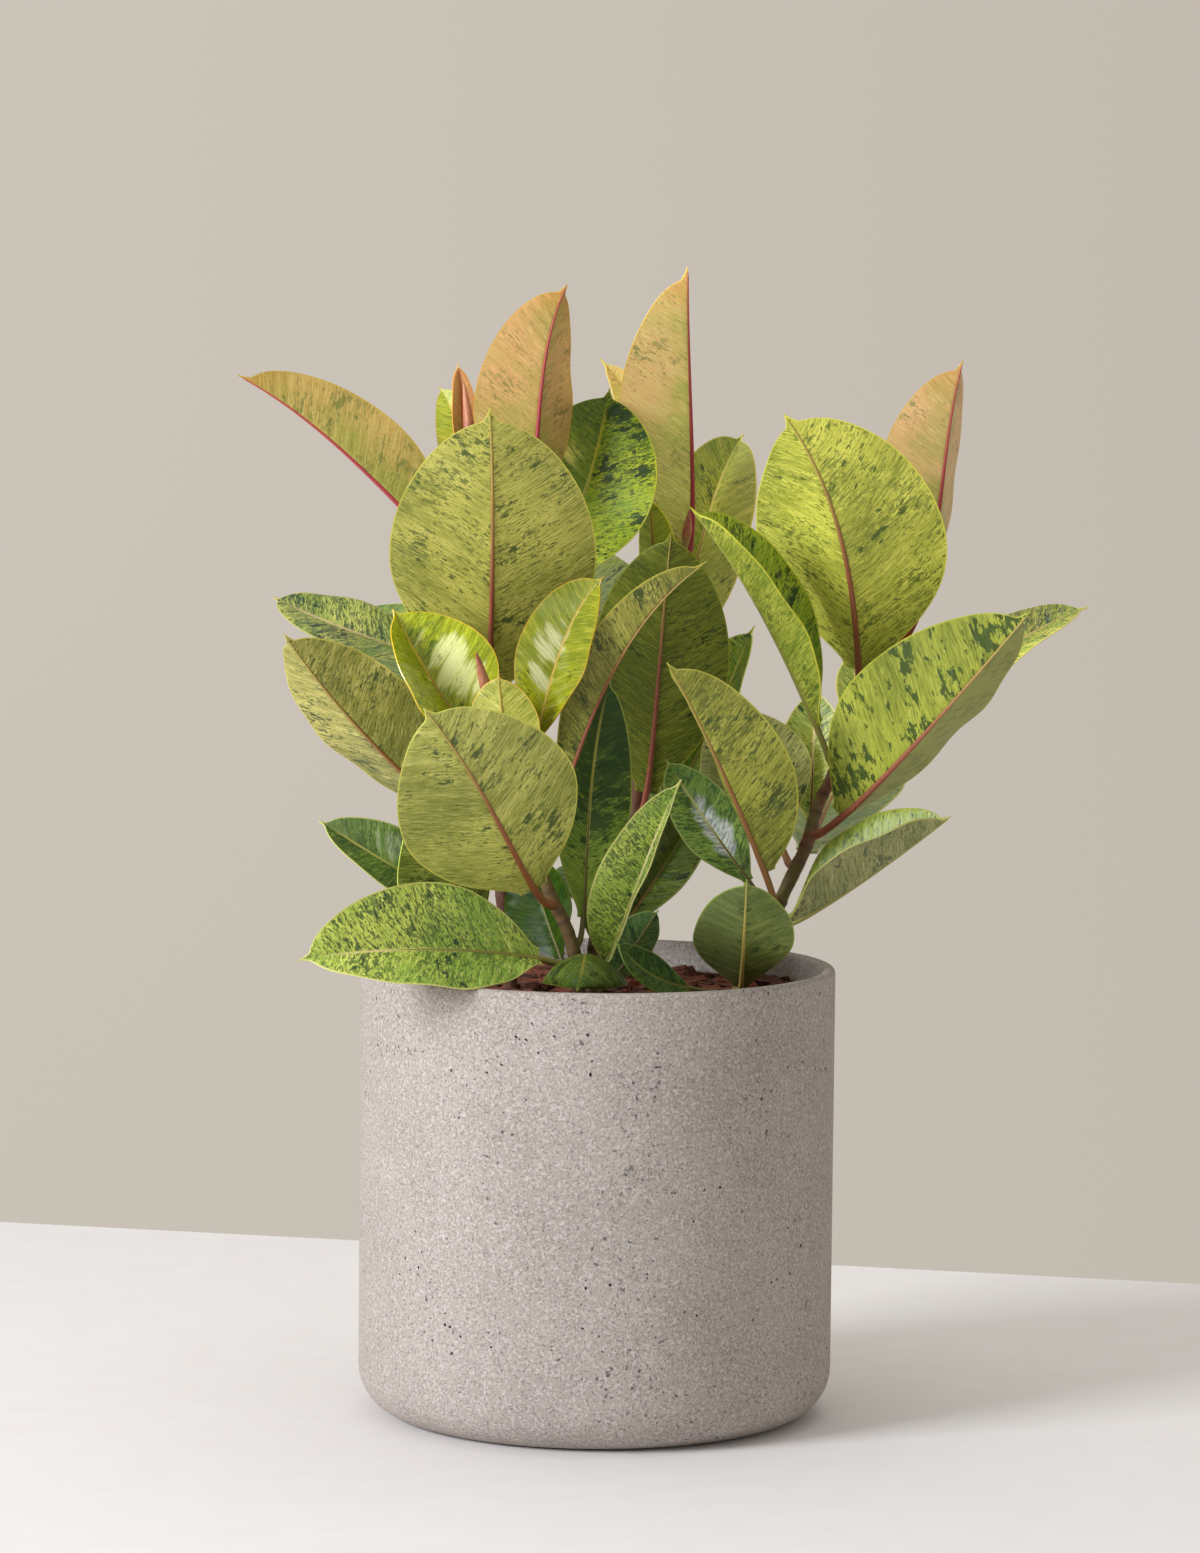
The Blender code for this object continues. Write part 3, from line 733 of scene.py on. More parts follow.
# Each leaf, by its stem. height: of its root. tip: its place. width, petiole, bow and sway: all in mm.
# roll, fold, lift and curl in degrees. kind: its colouring. widest: share of the blade's length.
Leaf = namedtuple("Leaf", "height tip width petiole bow sway roll fold kind widest lift curl",
                  defaults=(0.5, 35, 0))
leaves = {
    "left": (
        Leaf(422, (-184, 10, 523), 57, 22, 6, -4, 50, 50, "young", widest=0.45),
        Leaf(430, (-19, 2, 570), 66, 36, 0, 6, -60, 32, "young", widest=0.45, lift=20),
        Leaf(468, (-74, 25, 530), 16, 10, 0, 0, 0, 20, "young"),
        Leaf(450, (-84, 45, 518), 24, 16, 0, 5, -36, 20, "green"),
        Leaf(356, (-55, -95, 509), 103, 12, -4, -2, 0, 8, "olive"),
        Leaf(385, (3, 33, 518), 72, 36, -5, 7, 60, 12, "green", widest=0.58),
        Leaf(288, (-157, -45, 396), 65, 26, 0, 6, 47, 31, "olive"),
        Leaf(370, (-168, 40, 410), 37, 22, 4, -6, -40, 20, "green"),
        Leaf(248, (-140, -30, 302), 40, 22, 4, -5, -55, 20, "dark"),
        Leaf(335, (-128, 128, 402), 80, 24, 4, 0, -10, 12, "olive"),
        Leaf(262, (-82, 150, 316), 76, 20, 8, 0, 10, 10, "green", widest=0.48, lift=30),
        Leaf(228, (-90, -50, 314), 60, 20, 0, 0, 80, 10, "olive", lift=10),
    ),
    "front": (
        Leaf(336, (-103, -51, 409), 68, 10, -4, -1, -50, 35, "gloss"),
        Leaf(322, (-50, -80, 379), 36, 8, 0, 0, 0, 10, "gloss"),
        Leaf(264, (-84, -150, 367), 90, 20, -8, -4, 42, 6, "olive", widest=0.48),
        Leaf(325, (1, -70, 427), 43, 22, 0, -9, 80, 20, "gloss"),
        Leaf(290, (51, -75, 435), 37, 20, 12, 10, -20, 46, "olive", widest=0.55),
        Leaf(241, (5, -20, 375), 42, 14, 0, -5, 63, 12, "dark"),
        Leaf(232, (-145, -115, 242), 67, 18, 7.5, 2, -53, 27, "green", widest=0.48, lift=38),
        Leaf(226, (-10, -98, 226), 52, 8, 17, -4, 0, -8, "dark", widest=0.6, lift=20, curl=-55),
        Leaf(226, (-38, -6, 284), 40, 12, 0, 0, -70, 15, "dark"),
    ),
    "back": (
        Leaf(300, (35, 15, 447), 72, 14, 0, 0, -32, 10, "olive"),
        Leaf(425, (42, 50, 580), 89, 16, 0, 0, -83, 36, "young", widest=0.4),
        Leaf(412, (-2, 85, 533), 30, 20, 0, 14, -20, 20, "young"),
        Leaf(395, (24, 31, 463), 24, 14, 0, 0, 0, 20, "dark"),
        Leaf(352, (74, 138, 494), 60, 30, 10, -6, 25, 35, "olive", lift=5),
        Leaf(285, (79, 72, 396), 50, 20, 0, 3, 20, 30, "olive"),
        Leaf(330, (-20, 165, 440), 84, 24, -4, 0, 0, 14, "olive", widest=0.48),
        Leaf(262, (78, 168, 335), 84, 22, 8, 0, 15, 10, "green", widest=0.48, lift=30),
        Leaf(235, (10, 158, 262), 70, 18, 10, 0, -10, 12, "dark", lift=20),
    ),
    "right": (
        Leaf(368, (88, -70, 507), 102, 12, -4, -14, 17, 20, "olive", widest=0.48),
        Leaf(297, (208, -90, 413), 88, 18, -6, 2, -33, 36, "olive", widest=0.44),
        Leaf(340, (246, 15, 410), 60, 24, 6, 0, 15, 15, "green"),
        Leaf(385, (179, -10, 534), 66, 34, 0, 0, -40, 39, "young"),
        Leaf(330, (43, -60, 461), 56, 22, 6, 0, -42, 47, "green"),
        Leaf(262, (32, -105, 387), 66, 20, 4, 0, 0, 45, "olive", widest=0.42),
        Leaf(258, (33, -28, 334), 33, 16, -6, 0, -80, 15, "dark"),
        Leaf(219, (71, -125, 284), 50, 8, -4, 0, 0, 8, "olive", lift=0),
        Leaf(252, (173, -60, 310), 58, 8, -2, 0, 20, 55, "green", lift=10),
        Leaf(292, (109, 15, 367), 36, 16, 0, 0, 0, 25, "olive"),
        Leaf(345, (131, 50, 383), 22, 12, 0, 0, 14, 20, "olive"),
        Leaf(280, (62, 4, 358), 62, 16, 0, 0, 110, 15, "olive"),
        Leaf(215, (9, -60, 246), 22, 26, -3, -7, -60, 15, "dark", lift=0),
        Leaf(276, (140, 140, 330), 70, 24, 10, 0, 10, 12, "olive"),
    ),
    "short": (
        Leaf(224, (40, -62, 327), 44, 12, 2, 0, 96, 52, "green", widest=0.4, lift=20),
        Leaf(216, (30, -14, 257), 28, 8, 0, 0, -60, 15, "dark", lift=0),
        Leaf(228, (18, 30, 280), 36, 10, 0, 0, 0, 15, "dark"),
        Leaf(240, (58, 20, 315), 35, 14, 0, 0, 60, 35, "olive", lift=10),
    ),
}

# Finish of each kind, and of single leaves where they differ. tint: -1 deeper to 1 paler. red: of the midrib.
# marble: share of dark green markings. wave: of the margins in mm. edge: roll of the margins in degrees.
# drip: length of the drip tip in mm. bright, warm, vivid: steps away from the kind's colours; bright is
# partly painted light, lifting leaves that lie in shade.
# paintedHalfLight: painted light and shade that greys one half, the half on the side of its sign.
# paintedSheen: a painted reflection of the sky, at paintedSheenAt.
# smear: more markings towards the tip. blots: share of large dark markings.
leafFinish = {
    "every": {"tint": 0.0, "blots": 0.3, "smear": 0.0, "wave": 1.0, "edge": 0, "bright": 0.0, "warm": 0.0,
              "vivid": 0.0, "paintedHalfLight": 0.0, "paintedSheen": 0.0, "paintedSheenAt": (0.0, 0.5)},
    "olive": {"red": 0.75, "marble": 0.4, "drip": 6},
    "green": {"red": 0.25, "marble": 0.55, "wave": 1.2, "drip": 6},
    "dark": {"red": 0.45, "marble": 0.6, "drip": 5},
    "gloss": {"red": 0.3, "marble": 0.3, "drip": 6},
    "young": {"red": 1.0, "marble": 0.3, "blots": 0.1, "wave": 0.8, "drip": 7},
    "left_1": {"marble": 0.42, "blots": 0.5, "drip": 11, "bright": -0.42, "warm": -0.27, "vivid": 0.7},
    "left_2": {"marble": 0.4, "blots": 0.2, "warm": 0.25, "vivid": 0.15},
    "left_3": {"marble": 0.0, "bright": 0.1, "warm": 0.8, "vivid": -0.6},
    "left_4": {"marble": 0.0, "blots": -0.5, "bright": 0.7, "warm": 1.2},
    "left_5": {"tint": 0.1, "red": 1.0, "marble": 0.44, "blots": 0.3, "wave": 1.0, "bright": -0.01,
               "warm": 0.2, "vivid": 0.15},
    "left_6": {"marble": 0.47, "blots": 0.6, "smear": 0.3, "bright": -0.15, "warm": 0.7, "vivid": 1.49,
               "paintedHalfLight": -0.6, "paintedSheen": 1.3, "paintedSheenAt": (-0.45, 0.5)},
    "left_7": {"tint": -0.1, "marble": 0.5, "wave": 1.4, "bright": -0.14, "warm": 0.35, "vivid": -0.5},
    "left_8": {"marble": 0.62, "blots": 0.5, "edge": -50, "drip": 9, "bright": -0.2, "warm": 1.2,
               "vivid": -2.1},
    "left_9": {"marble": 0.5, "smear": 0.6, "bright": 3.86, "warm": 1.18, "vivid": -1.3, "paintedHalfLight": 0.3,
               "paintedSheen": 0.1, "paintedSheenAt": (0.5, 0.4)},
    "left_12": {"bright": 1.15, "warm": -0.54},
    "front_1": {"marble": 0.4, "bright": 1.07, "warm": 0.1, "vivid": 1.04, "paintedSheen": 1.5,
                "paintedSheenAt": (0.42, 0.5)},
    "front_2": {"bright": 0.71, "warm": 0.3, "vivid": -1.73},
    "front_3": {"tint": -0.05, "red": 0.9, "marble": 0.38, "wave": 1.0, "bright": 0.54, "vivid": -0.15},
    "front_4": {"marble": 0.3, "bright": -0.71, "warm": 0.25, "vivid": 0.92, "paintedSheen": 1.35,
                "paintedSheenAt": (-0.3, 0.55)},
    "front_5": {"tint": -0.2, "red": 1.0, "marble": 0.5, "bright": -0.66, "warm": 0.25, "vivid": 0.37},
    "front_6": {"marble": 0.5, "blots": 1.0, "smear": 1.3, "bright": 1.22, "warm": 0.89, "vivid": -0.2},
    "front_7": {"marble": 0.56, "bright": 1.32, "warm": 0.81, "vivid": -1.7},
    "front_8": {"marble": 0.4, "bright": -0.91, "warm": 1.08, "vivid": 0.12},
    "front_9": {"marble": 0.4, "bright": -1.3, "warm": -0.48, "vivid": 1.66},
    "back_1": {"tint": -0.5, "red": 1.0, "marble": 0.45, "bright": -1.0, "warm": -0.4, "vivid": 1.35},
    "back_2": {"marble": 0.36, "bright": 2.67, "warm": -0.3},
    "back_3": {"bright": 1.9, "warm": -0.9, "vivid": -0.6},
    "back_4": {"marble": 0.2, "bright": 4.1, "warm": 1.31, "vivid": 1.03},
    "back_5": {"tint": 0.4, "marble": 0.4, "bright": 0.49, "warm": 0.6, "vivid": 0.16, "paintedHalfLight": 0.35},
    "back_6": {"tint": -0.3, "red": 0.3, "bright": 0.94, "warm": 0.2, "vivid": 0.14},
    "back_7": {"bright": -1.3, "vivid": 0.8},
    "right_1": {"tint": 0.3, "red": 0.95, "marble": 0.5, "blots": 0.3, "bright": 0.68, "vivid": 0.7},
    "right_2": {"tint": 0.2, "red": 1.0, "marble": 0.3, "blots": 1.0, "wave": 2.2, "bright": -0.38,
                "warm": -0.3, "vivid": 0.98, "paintedHalfLight": -1.3},
    "right_3": {"edge": -35, "drip": 9, "bright": 1.2, "warm": 1.5, "vivid": -1.2},
    "right_4": {"marble": 0.25, "bright": 0.38, "warm": 0.03, "vivid": -0.14},
    "right_5": {"marble": 0.5, "blots": 0.5, "bright": 0.39, "warm": 0.5, "vivid": 1.0},
    "right_6": {"marble": 0.5, "bright": -0.2, "vivid": 0.6},
    "right_7": {"marble": 0.6, "bright": 1.43, "warm": 0.62, "vivid": -0.96, "paintedSheen": 0.42,
                "paintedSheenAt": (0.1, 0.45)},
    "right_8": {"tint": -0.5, "red": 0.2, "marble": 0.3, "bright": -1.08, "warm": -0.8, "vivid": 0.15,
                "paintedHalfLight": 0.5},
    "right_9": {"marble": 0.42, "edge": -30, "bright": -0.39, "warm": 0.8, "vivid": -0.92},
    "right_10": {"bright": 2.73, "warm": 0.64, "vivid": -1.5},
    "right_11": {"bright": 1.7, "warm": 0.5},
    "right_12": {"bright": 0.2, "vivid": -0.8},
    "short_1": {"marble": 0.6, "blots": 0.2, "bright": 0.75, "warm": 0.81, "vivid": -2.2},
    "short_2": {"bright": 1.58, "warm": -0.46, "vivid": -1.09},
    "short_4": {"bright": -1.46, "warm": -0.14, "vivid": 0.55},
}

bladeLook = {
    "gap": 0.3 * mm,
    "petioleRadius": 2.0 * mm,
    "thickness": 0.8 * mm,
    "bendAt": 0.62,  # of the way to the tip, where bow and sway act
    "lineSteps": 500,
    "broadEnd": 0.955,  # share of the blade's length where the oval ends
    "footFullness": 0.84,  # 1 is wedge-shaped, less is rounder
    "tipFullness": 0.54,
    "dripWidth": 0.17,  # of the blade's
    "dripLeast": 0.09,  # share of the blade's length
    "veinGap": 6.0 * mm,
    "veinHeight": 0.26 * mm,
    "veinAngle": 58,  # degrees from the midrib
    "grooveDepth": 0.45 * mm,  # over the midrib
    "grooveWidth": 1.1 * mm,
    "swayHeight": 0.5 * mm,  # of the slow waves across the blade
    "fine": (30, 110),  # faces across and along
    "small": (16, 60),
    "smallUnder": 45,  # mm wide
    "ribSides": 10,
    "ribRings": 61,
    "ribEnd": 0.985,  # share of the leaf's length
    "ribTip": 0.4 * mm,  # its radius there
    "ribMore": 1.35 * mm,  # added at the blade's foot
    "rootDepth": 2.5 * mm,  # of the petiole in the stem
}


def leafLine(leaf, stemName):  # its frame, petiole's share and length, the stem's centre and the root
    centre, radius, along = stemAt(stemName, leaf.height * mm)
    tip = np.array(leaf.tip) * mm
    axis = unit(tip - centre)
    level = unit(axis * (1, 1, 0))
    upper = unit(np.array([0.0, 0.0, 1.0]) - axis * axis[2])
    roll, lift = np.radians([leaf.roll, leaf.lift])
    normal = upper * np.cos(roll) + np.cross(axis, upper) * np.sin(roll)
    side = np.cross(axis, normal)
    out = unit(level - along * level.dot(along))
    root = centre + out * (radius + bladeLook["gap"] + np.sin(lift) * bladeLook["petioleRadius"])
    bend = (normal * leaf.bow + side * leaf.sway) * mm
    p1 = root + (out * np.cos(lift) + along * np.sin(lift)) * leaf.petiole * mm
    p2 = root + (tip - root) * bladeLook["bendAt"] + 2 * bend
    t = np.linspace(0, 1, bladeLook["lineSteps"])[:, None]
    points = root * (1 - t)**3 + p1 * 3 * t * (1 - t)**2 + p2 * 3 * t**2 * (1 - t) + tip * t**3
    tangents = (p1 - root) * (1 - t)**2 + (p2 - p1) * 2 * t * (1 - t) + (tip - p2) * t**2
    run = np.concatenate([[0], np.cumsum(np.linalg.norm(np.diff(points, axis=0), axis=1))])
    share = run / run[-1]

    def at(s):  # the point, the way its upper side faces, and the way to its side
        point = np.stack([np.interp(s, share, points[:, i]) for i in range(3)], axis=-1)
        tangent = unit(np.stack([np.interp(s, share, tangents[:, i]) for i in range(3)], axis=-1))
        facing = normal * np.ones_like(tangent)
        facing = unit(facing - tangent * np.sum(facing * tangent, axis=-1, keepdims=True))
        return point, facing, np.cross(tangent, facing)

    return at, leaf.petiole * mm / run[-1], run[-1], centre, root


def halfWidth(s, width, widest, drip):  # half the blade's width: an oval that runs out in a drip tip
    look = bladeLook
    even = np.minimum(s / look["broadEnd"], 1.0)**(np.log(0.5) / np.log(widest))
    fullness = np.where(even < 0.5, look["footFullness"], look["tipFullness"])
    oval = np.maximum(0.0, np.sin(np.pi * even))**fullness
    tail = look["dripWidth"] * np.minimum(1.0, (1 - s) / max(drip, look["dripLeast"]))**1.2
    return width / 2 * (oval**4 + tail**4)**0.25


def makeBladeKind(name, across, along):  # a flat blade, 2 by 2 and 1 thick; its underside has slot 2
    deselectAll()
    bpy.ops.mesh.primitive_grid_add(x_subdivisions=across, y_subdivisions=along, size=2)
    blade = newest(name)
    bpy.ops.object.mode_set(mode="EDIT")
    bpy.ops.mesh.select_all(action="SELECT")
    extrudeUp(-1)
    faceOutwards()
    for _ in range(2):
        blade.data.materials.append(None)
    pickFaces(blade, lambda centre, normal: normal.z < -0.5)
    blade.active_material_index = 1
    bpy.ops.object.material_slot_assign()
    bpy.ops.object.mode_set(mode="OBJECT")
    return blade


def finishOf(leaf, name):  # every leaf's, its kind's and its own
    return {**leafFinish["every"], **leafFinish[leaf.kind], **leafFinish.get(name, {})}


def writeTones(piece, look):  # the leaf's own finish, for its materials
    count = len(piece.data.vertices)
    # bright is partly painted light: this gain lifts leaves that lie in shade
    tone = 1 + 0.4 * look["bright"]
    gain = [tone * (1 + 0.3 * look["warm"]), tone, tone * (1 - 0.5 * look["vivid"])]
    writeField(piece, "leafTone", np.tile([look["tint"], look["red"], look["marble"]], (count, 1)))
    writeField(piece, "leafMore", np.tile([look["paintedHalfLight"], look["paintedSheen"], look["smear"]], (count, 1)))
    writeField(piece, "leafPaintedSheenAndBlots", np.tile([*look["paintedSheenAt"], look["blots"]], (count, 1)))
    writeField(piece, "leafGain", np.tile(gain, (count, 1)))


def growBlade(blade, leaf, stemName, name):
    look = finishOf(leaf, name)
    at, start, length, _, _ = leafLine(leaf, stemName)
    bladeLength = length * (1 - start)
    draw = random.Random(name)
    points = cornersOf(blade)
    under = points[:, 2] < -0.5
    a = np.abs(points[:, 0])
    a = a - 0.13 * np.sin(2 * np.pi * a)  # closer columns at the midrib and the margin
    sign = np.sign(np.round(points[:, 0], 5))
    t = (points[:, 1] + 1) / 2
    v = 0.5 * t + 0.25 * (1 - np.cos(np.pi * t))
    half = np.maximum(halfWidth(v, leaf.width * mm, leaf.widest, look["drip"] * mm / bladeLength),
                      np.where(v > 0.5, 0.3 * mm, 1.2 * mm))
    x = a * half
    y = v * bladeLength

    fine = np.linspace(0, 1, 201)
    fold, curl, edge = np.radians([leaf.fold, leaf.curl, look["edge"]])
    slope = fold * smooth(fine / 0.06) + curl * fine + edge * np.clip((fine - 0.72) / 0.28, 0, 1)**2
    out = np.concatenate([[0], np.cumsum(np.cos((slope[1:] + slope[:-1]) / 2) * np.diff(fine))])
    rise = np.concatenate([[0], np.cumsum(np.sin((slope[1:] + slope[:-1]) / 2) * np.diff(fine))])
    tilt = np.interp(a, fine, slope)[:, None]

    angle = math.radians(bladeLook["veinAngle"])
    phase = (y * math.sin(angle) - x * math.cos(angle)) / bladeLook["veinGap"]
    veins = np.cos(2 * np.pi * phase + sign * 0.8)
    veinFade = smooth(a / 0.12) * (1 - smooth((a - 0.86) / 0.1)) * smooth((half - 6 * mm) / (10 * mm))
    turns = [draw.uniform(0, 6.28) for _ in range(6)]
    ripple = np.sin(v * draw.uniform(9, 13) + turns[0] + sign * turns[1]) * 0.6
    ripple += np.sin(v * draw.uniform(18, 25) + turns[2] + sign * turns[3]) * 0.4
    ends = smooth(v / 0.15) * smooth((1 - v) / 0.15)
    lift = look["wave"] * mm * ripple * a**2.5 * ends * min(1, leaf.width / 60)
    lift += bladeLook["swayHeight"] * np.sin(v * 7 + turns[4] + sign * turns[5] + a * 3) * a * ends
    lift += bladeLook["veinHeight"] * veins * veinFade * ends
    thick = bladeLook["thickness"] * (1 - 0.35 * smooth((a - 0.8) / 0.2)) / 2
    groove = np.exp(-(x / bladeLook["grooveWidth"])**2) * bladeLook["grooveDepth"] * (1 - v)

    point, facing, side = at(start + (1 - start) * v)
    s = sign[:, None]
    skin = facing * np.cos(tilt) - side * s * np.sin(tilt)
    middle = point + side * s * (half * np.interp(a, fine, out))[:, None]
    middle = middle + facing * (half * np.interp(a, fine, rise))[:, None]
    away = np.where(under, lift - thick, lift + thick - groove)[:, None]
    moveCorners(blade, middle + skin * away)
    seed = draw.uniform(0, 40)
    writeField(blade, "leafPlace", np.stack([x * sign, y, v * 0 + seed], axis=1))
    writeField(blade, "leafShare", np.stack([a * sign, v, half - x], axis=1))
    writeTones(blade, look)


def growRib(rib, leaf, stemName, name, number):  # petiole and midrib in one rod under the blade
    look = finishOf(leaf, name)
    at, start, length, centre, root = leafLine(leaf, stemName)
    s = np.linspace(0, bladeLook["ribEnd"], bladeLook["ribRings"])
    point, facing, side = at(s)
    v = (s - start) / (1 - start)
    size = min(1.0, max(0.55, (leaf.width / 85)**0.5))
    petiole = bladeLook["petioleRadius"] * size
    midrib = (bladeLook["ribTip"] + bladeLook["ribMore"] * np.clip(1 - v, 0, 1)**1.1) * size
    blend = smooth((v + 0.02) / 0.1)
    radii = petiole * (1 - blend) + midrib * blend
    radii *= 1 + 0.3 * np.exp(-(s * length / (3 * mm))**2)
    radii[-1] *= 0.3
    sink = blend * (bladeLook["thickness"] / 2 + radii * 0.1)
    centres = point - facing * sink[:, None]
    inward = unit(centre - root) * bladeLook["rootDepth"]
    centres = np.vstack([centres[0] + inward, centres[0] + inward * 0.4, centres[1:]])
    radii = np.concatenate([[radii[0]], [radii[0]], radii[1:]])
    facing, side = (np.vstack([way[:1], way]) for way in (facing, side))
    v = np.concatenate([v[:1], v])
    share = np.clip(cornersOf(rib)[:, 2], 0, 1)
    along = np.interp(share, np.linspace(0, 1, len(v)), v)
    bendRod(rib, centres, facing, side, radii)
    blank = np.zeros(len(share))
    writeField(rib, "leafPlace", np.stack([blank, along * length, blank + number], axis=1))
    writeField(rib, "leafShare", np.stack([blank, along, blank + 0.02], axis=1))
    writeTones(rib, look)


# Colours and finish of both faces of each kind. pale and deep: ground. mark: dark markings. light: streaks.
# margin and rib: lines. paintedHalfLight: colour of a half greyed by painted light and shade. marks: strength
# of all markings. speckle: of the finest.
# clump: how much they gather. stripes: strength of the broad bands. veins: of the side veins. shine: specular
# level.
skinLook = {
    "olive": {
        "both": {"paintedHalfLight": rgb(166, 164, 112), "clump": 0.4, "stripes": 0.5, "shine": 0.4},
        "under": {"pale": rgb(196, 196, 92), "deep": rgb(126, 132, 48), "mark": rgb(58, 80, 34),
                  "light": rgb(214, 208, 128), "margin": rgb(206, 200, 84), "rib": rgb(190, 170, 84),
                  "marks": 0.92, "speckle": 0.6, "veins": 0.21, "rough": 0.55, "coat": 0.0},
        "upper": {"pale": rgb(170, 188, 62), "deep": rgb(92, 128, 34), "mark": rgb(32, 66, 26),
                  "light": rgb(200, 208, 110), "margin": rgb(206, 206, 96), "rib": rgb(206, 196, 110),
                  "marks": 0.92, "speckle": 0.7, "veins": 0.24, "rough": 0.34, "coat": 0.25},
    },
    "green": {
        "both": {"paintedHalfLight": rgb(72, 104, 62), "clump": 0.3, "stripes": 0.4, "shine": 0.35},
        "under": {"pale": rgb(168, 182, 96), "deep": rgb(104, 128, 52), "mark": rgb(58, 88, 44),
                  "light": rgb(186, 194, 120), "margin": rgb(196, 200, 90), "rib": rgb(186, 184, 100),
                  "marks": 0.8, "speckle": 0.6, "veins": 0.21, "rough": 0.5, "coat": 0.05},
        "upper": {"pale": rgb(178, 204, 66), "deep": rgb(104, 148, 36), "mark": rgb(18, 56, 26),
                  "light": rgb(184, 204, 92), "margin": rgb(168, 180, 80), "rib": rgb(184, 186, 96),
                  "marks": 0.95, "speckle": 0.8, "veins": 0.21, "rough": 0.46, "coat": 0.08},
    },
    "dark": {
        "both": {"paintedHalfLight": rgb(60, 84, 58), "clump": 0.6, "stripes": 0.35, "shine": 0.12},
        "under": {"pale": rgb(116, 140, 62), "deep": rgb(66, 94, 40), "mark": rgb(28, 54, 28),
                  "light": rgb(130, 148, 78), "margin": rgb(168, 178, 74), "rib": rgb(150, 140, 72),
                  "marks": 0.8, "speckle": 0.6, "veins": 0.18, "rough": 0.45, "coat": 0.1},
        "upper": {"pale": rgb(116, 148, 54), "deep": rgb(56, 92, 34), "mark": rgb(18, 44, 26),
                  "light": rgb(120, 148, 66), "margin": rgb(120, 138, 62), "rib": rgb(140, 150, 70),
                  "marks": 0.8, "speckle": 0.8, "veins": 0.18, "rough": 0.44, "coat": 0.08},
    },
    "gloss": {
        "both": {"paintedHalfLight": rgb(150, 156, 92), "clump": 0.5, "stripes": 0.4, "shine": 0.4},
        "under": {"pale": rgb(196, 198, 70), "deep": rgb(146, 154, 40), "mark": rgb(80, 104, 34),
                  "light": rgb(216, 214, 110), "margin": rgb(212, 176, 60), "rib": rgb(206, 170, 70),
                  "marks": 0.8, "speckle": 0.4, "veins": 0.21, "rough": 0.4, "coat": 0.2},
        "upper": {"pale": rgb(184, 192, 30), "deep": rgb(128, 146, 16), "mark": rgb(44, 82, 20),
                  "light": rgb(214, 214, 96), "margin": rgb(214, 178, 60), "rib": rgb(214, 180, 70),
                  "marks": 0.8, "speckle": 0.6, "veins": 0.3, "rough": 0.22, "coat": 0.5},
    },
    "young": {
        "both": {"paintedHalfLight": rgb(176, 156, 104), "clump": 0.5, "stripes": 0.35, "shine": 0.4},
        "under": {"pale": rgb(216, 172, 112), "deep": rgb(168, 160, 78), "mark": rgb(120, 124, 62),
                  "light": rgb(232, 204, 140), "margin": rgb(214, 172, 66), "rib": rgb(190, 120, 80),
                  "marks": 0.8, "speckle": 0.5, "veins": 0.12, "rough": 0.45, "coat": 0.05},
        "upper": {"pale": rgb(216, 168, 100), "deep": rgb(166, 158, 72), "mark": rgb(112, 118, 56),
                  "light": rgb(230, 204, 130), "margin": rgb(214, 172, 66), "rib": rgb(200, 110, 80),
                  "marks": 0.8, "speckle": 0.5, "veins": 0.12, "rough": 0.36, "coat": 0.15},
    },
}

sharedColours = {
    "youngTip": rgb(206, 134, 62),
    "redRib": rgb(168, 84, 62),
    # colour of the painted sheen, a painted reflection of the sky
    "paintedSkyReflection": rgb(228, 235, 226),
}

ribLook = {  # at the blade's foot when red and when not, and towards the tip
    "olive": (rgb(148, 74, 54), rgb(168, 158, 74), rgb(184, 172, 84)),
    "green": (rgb(140, 74, 50), rgb(150, 156, 74), rgb(176, 180, 90)),
    "dark": (rgb(104, 46, 38), rgb(110, 124, 56), rgb(130, 142, 66)),
    "gloss": (rgb(186, 120, 48), rgb(190, 176, 70), rgb(204, 190, 84)),
    "young": (rgb(168, 52, 60), rgb(170, 60, 60), rgb(196, 110, 70)),
}


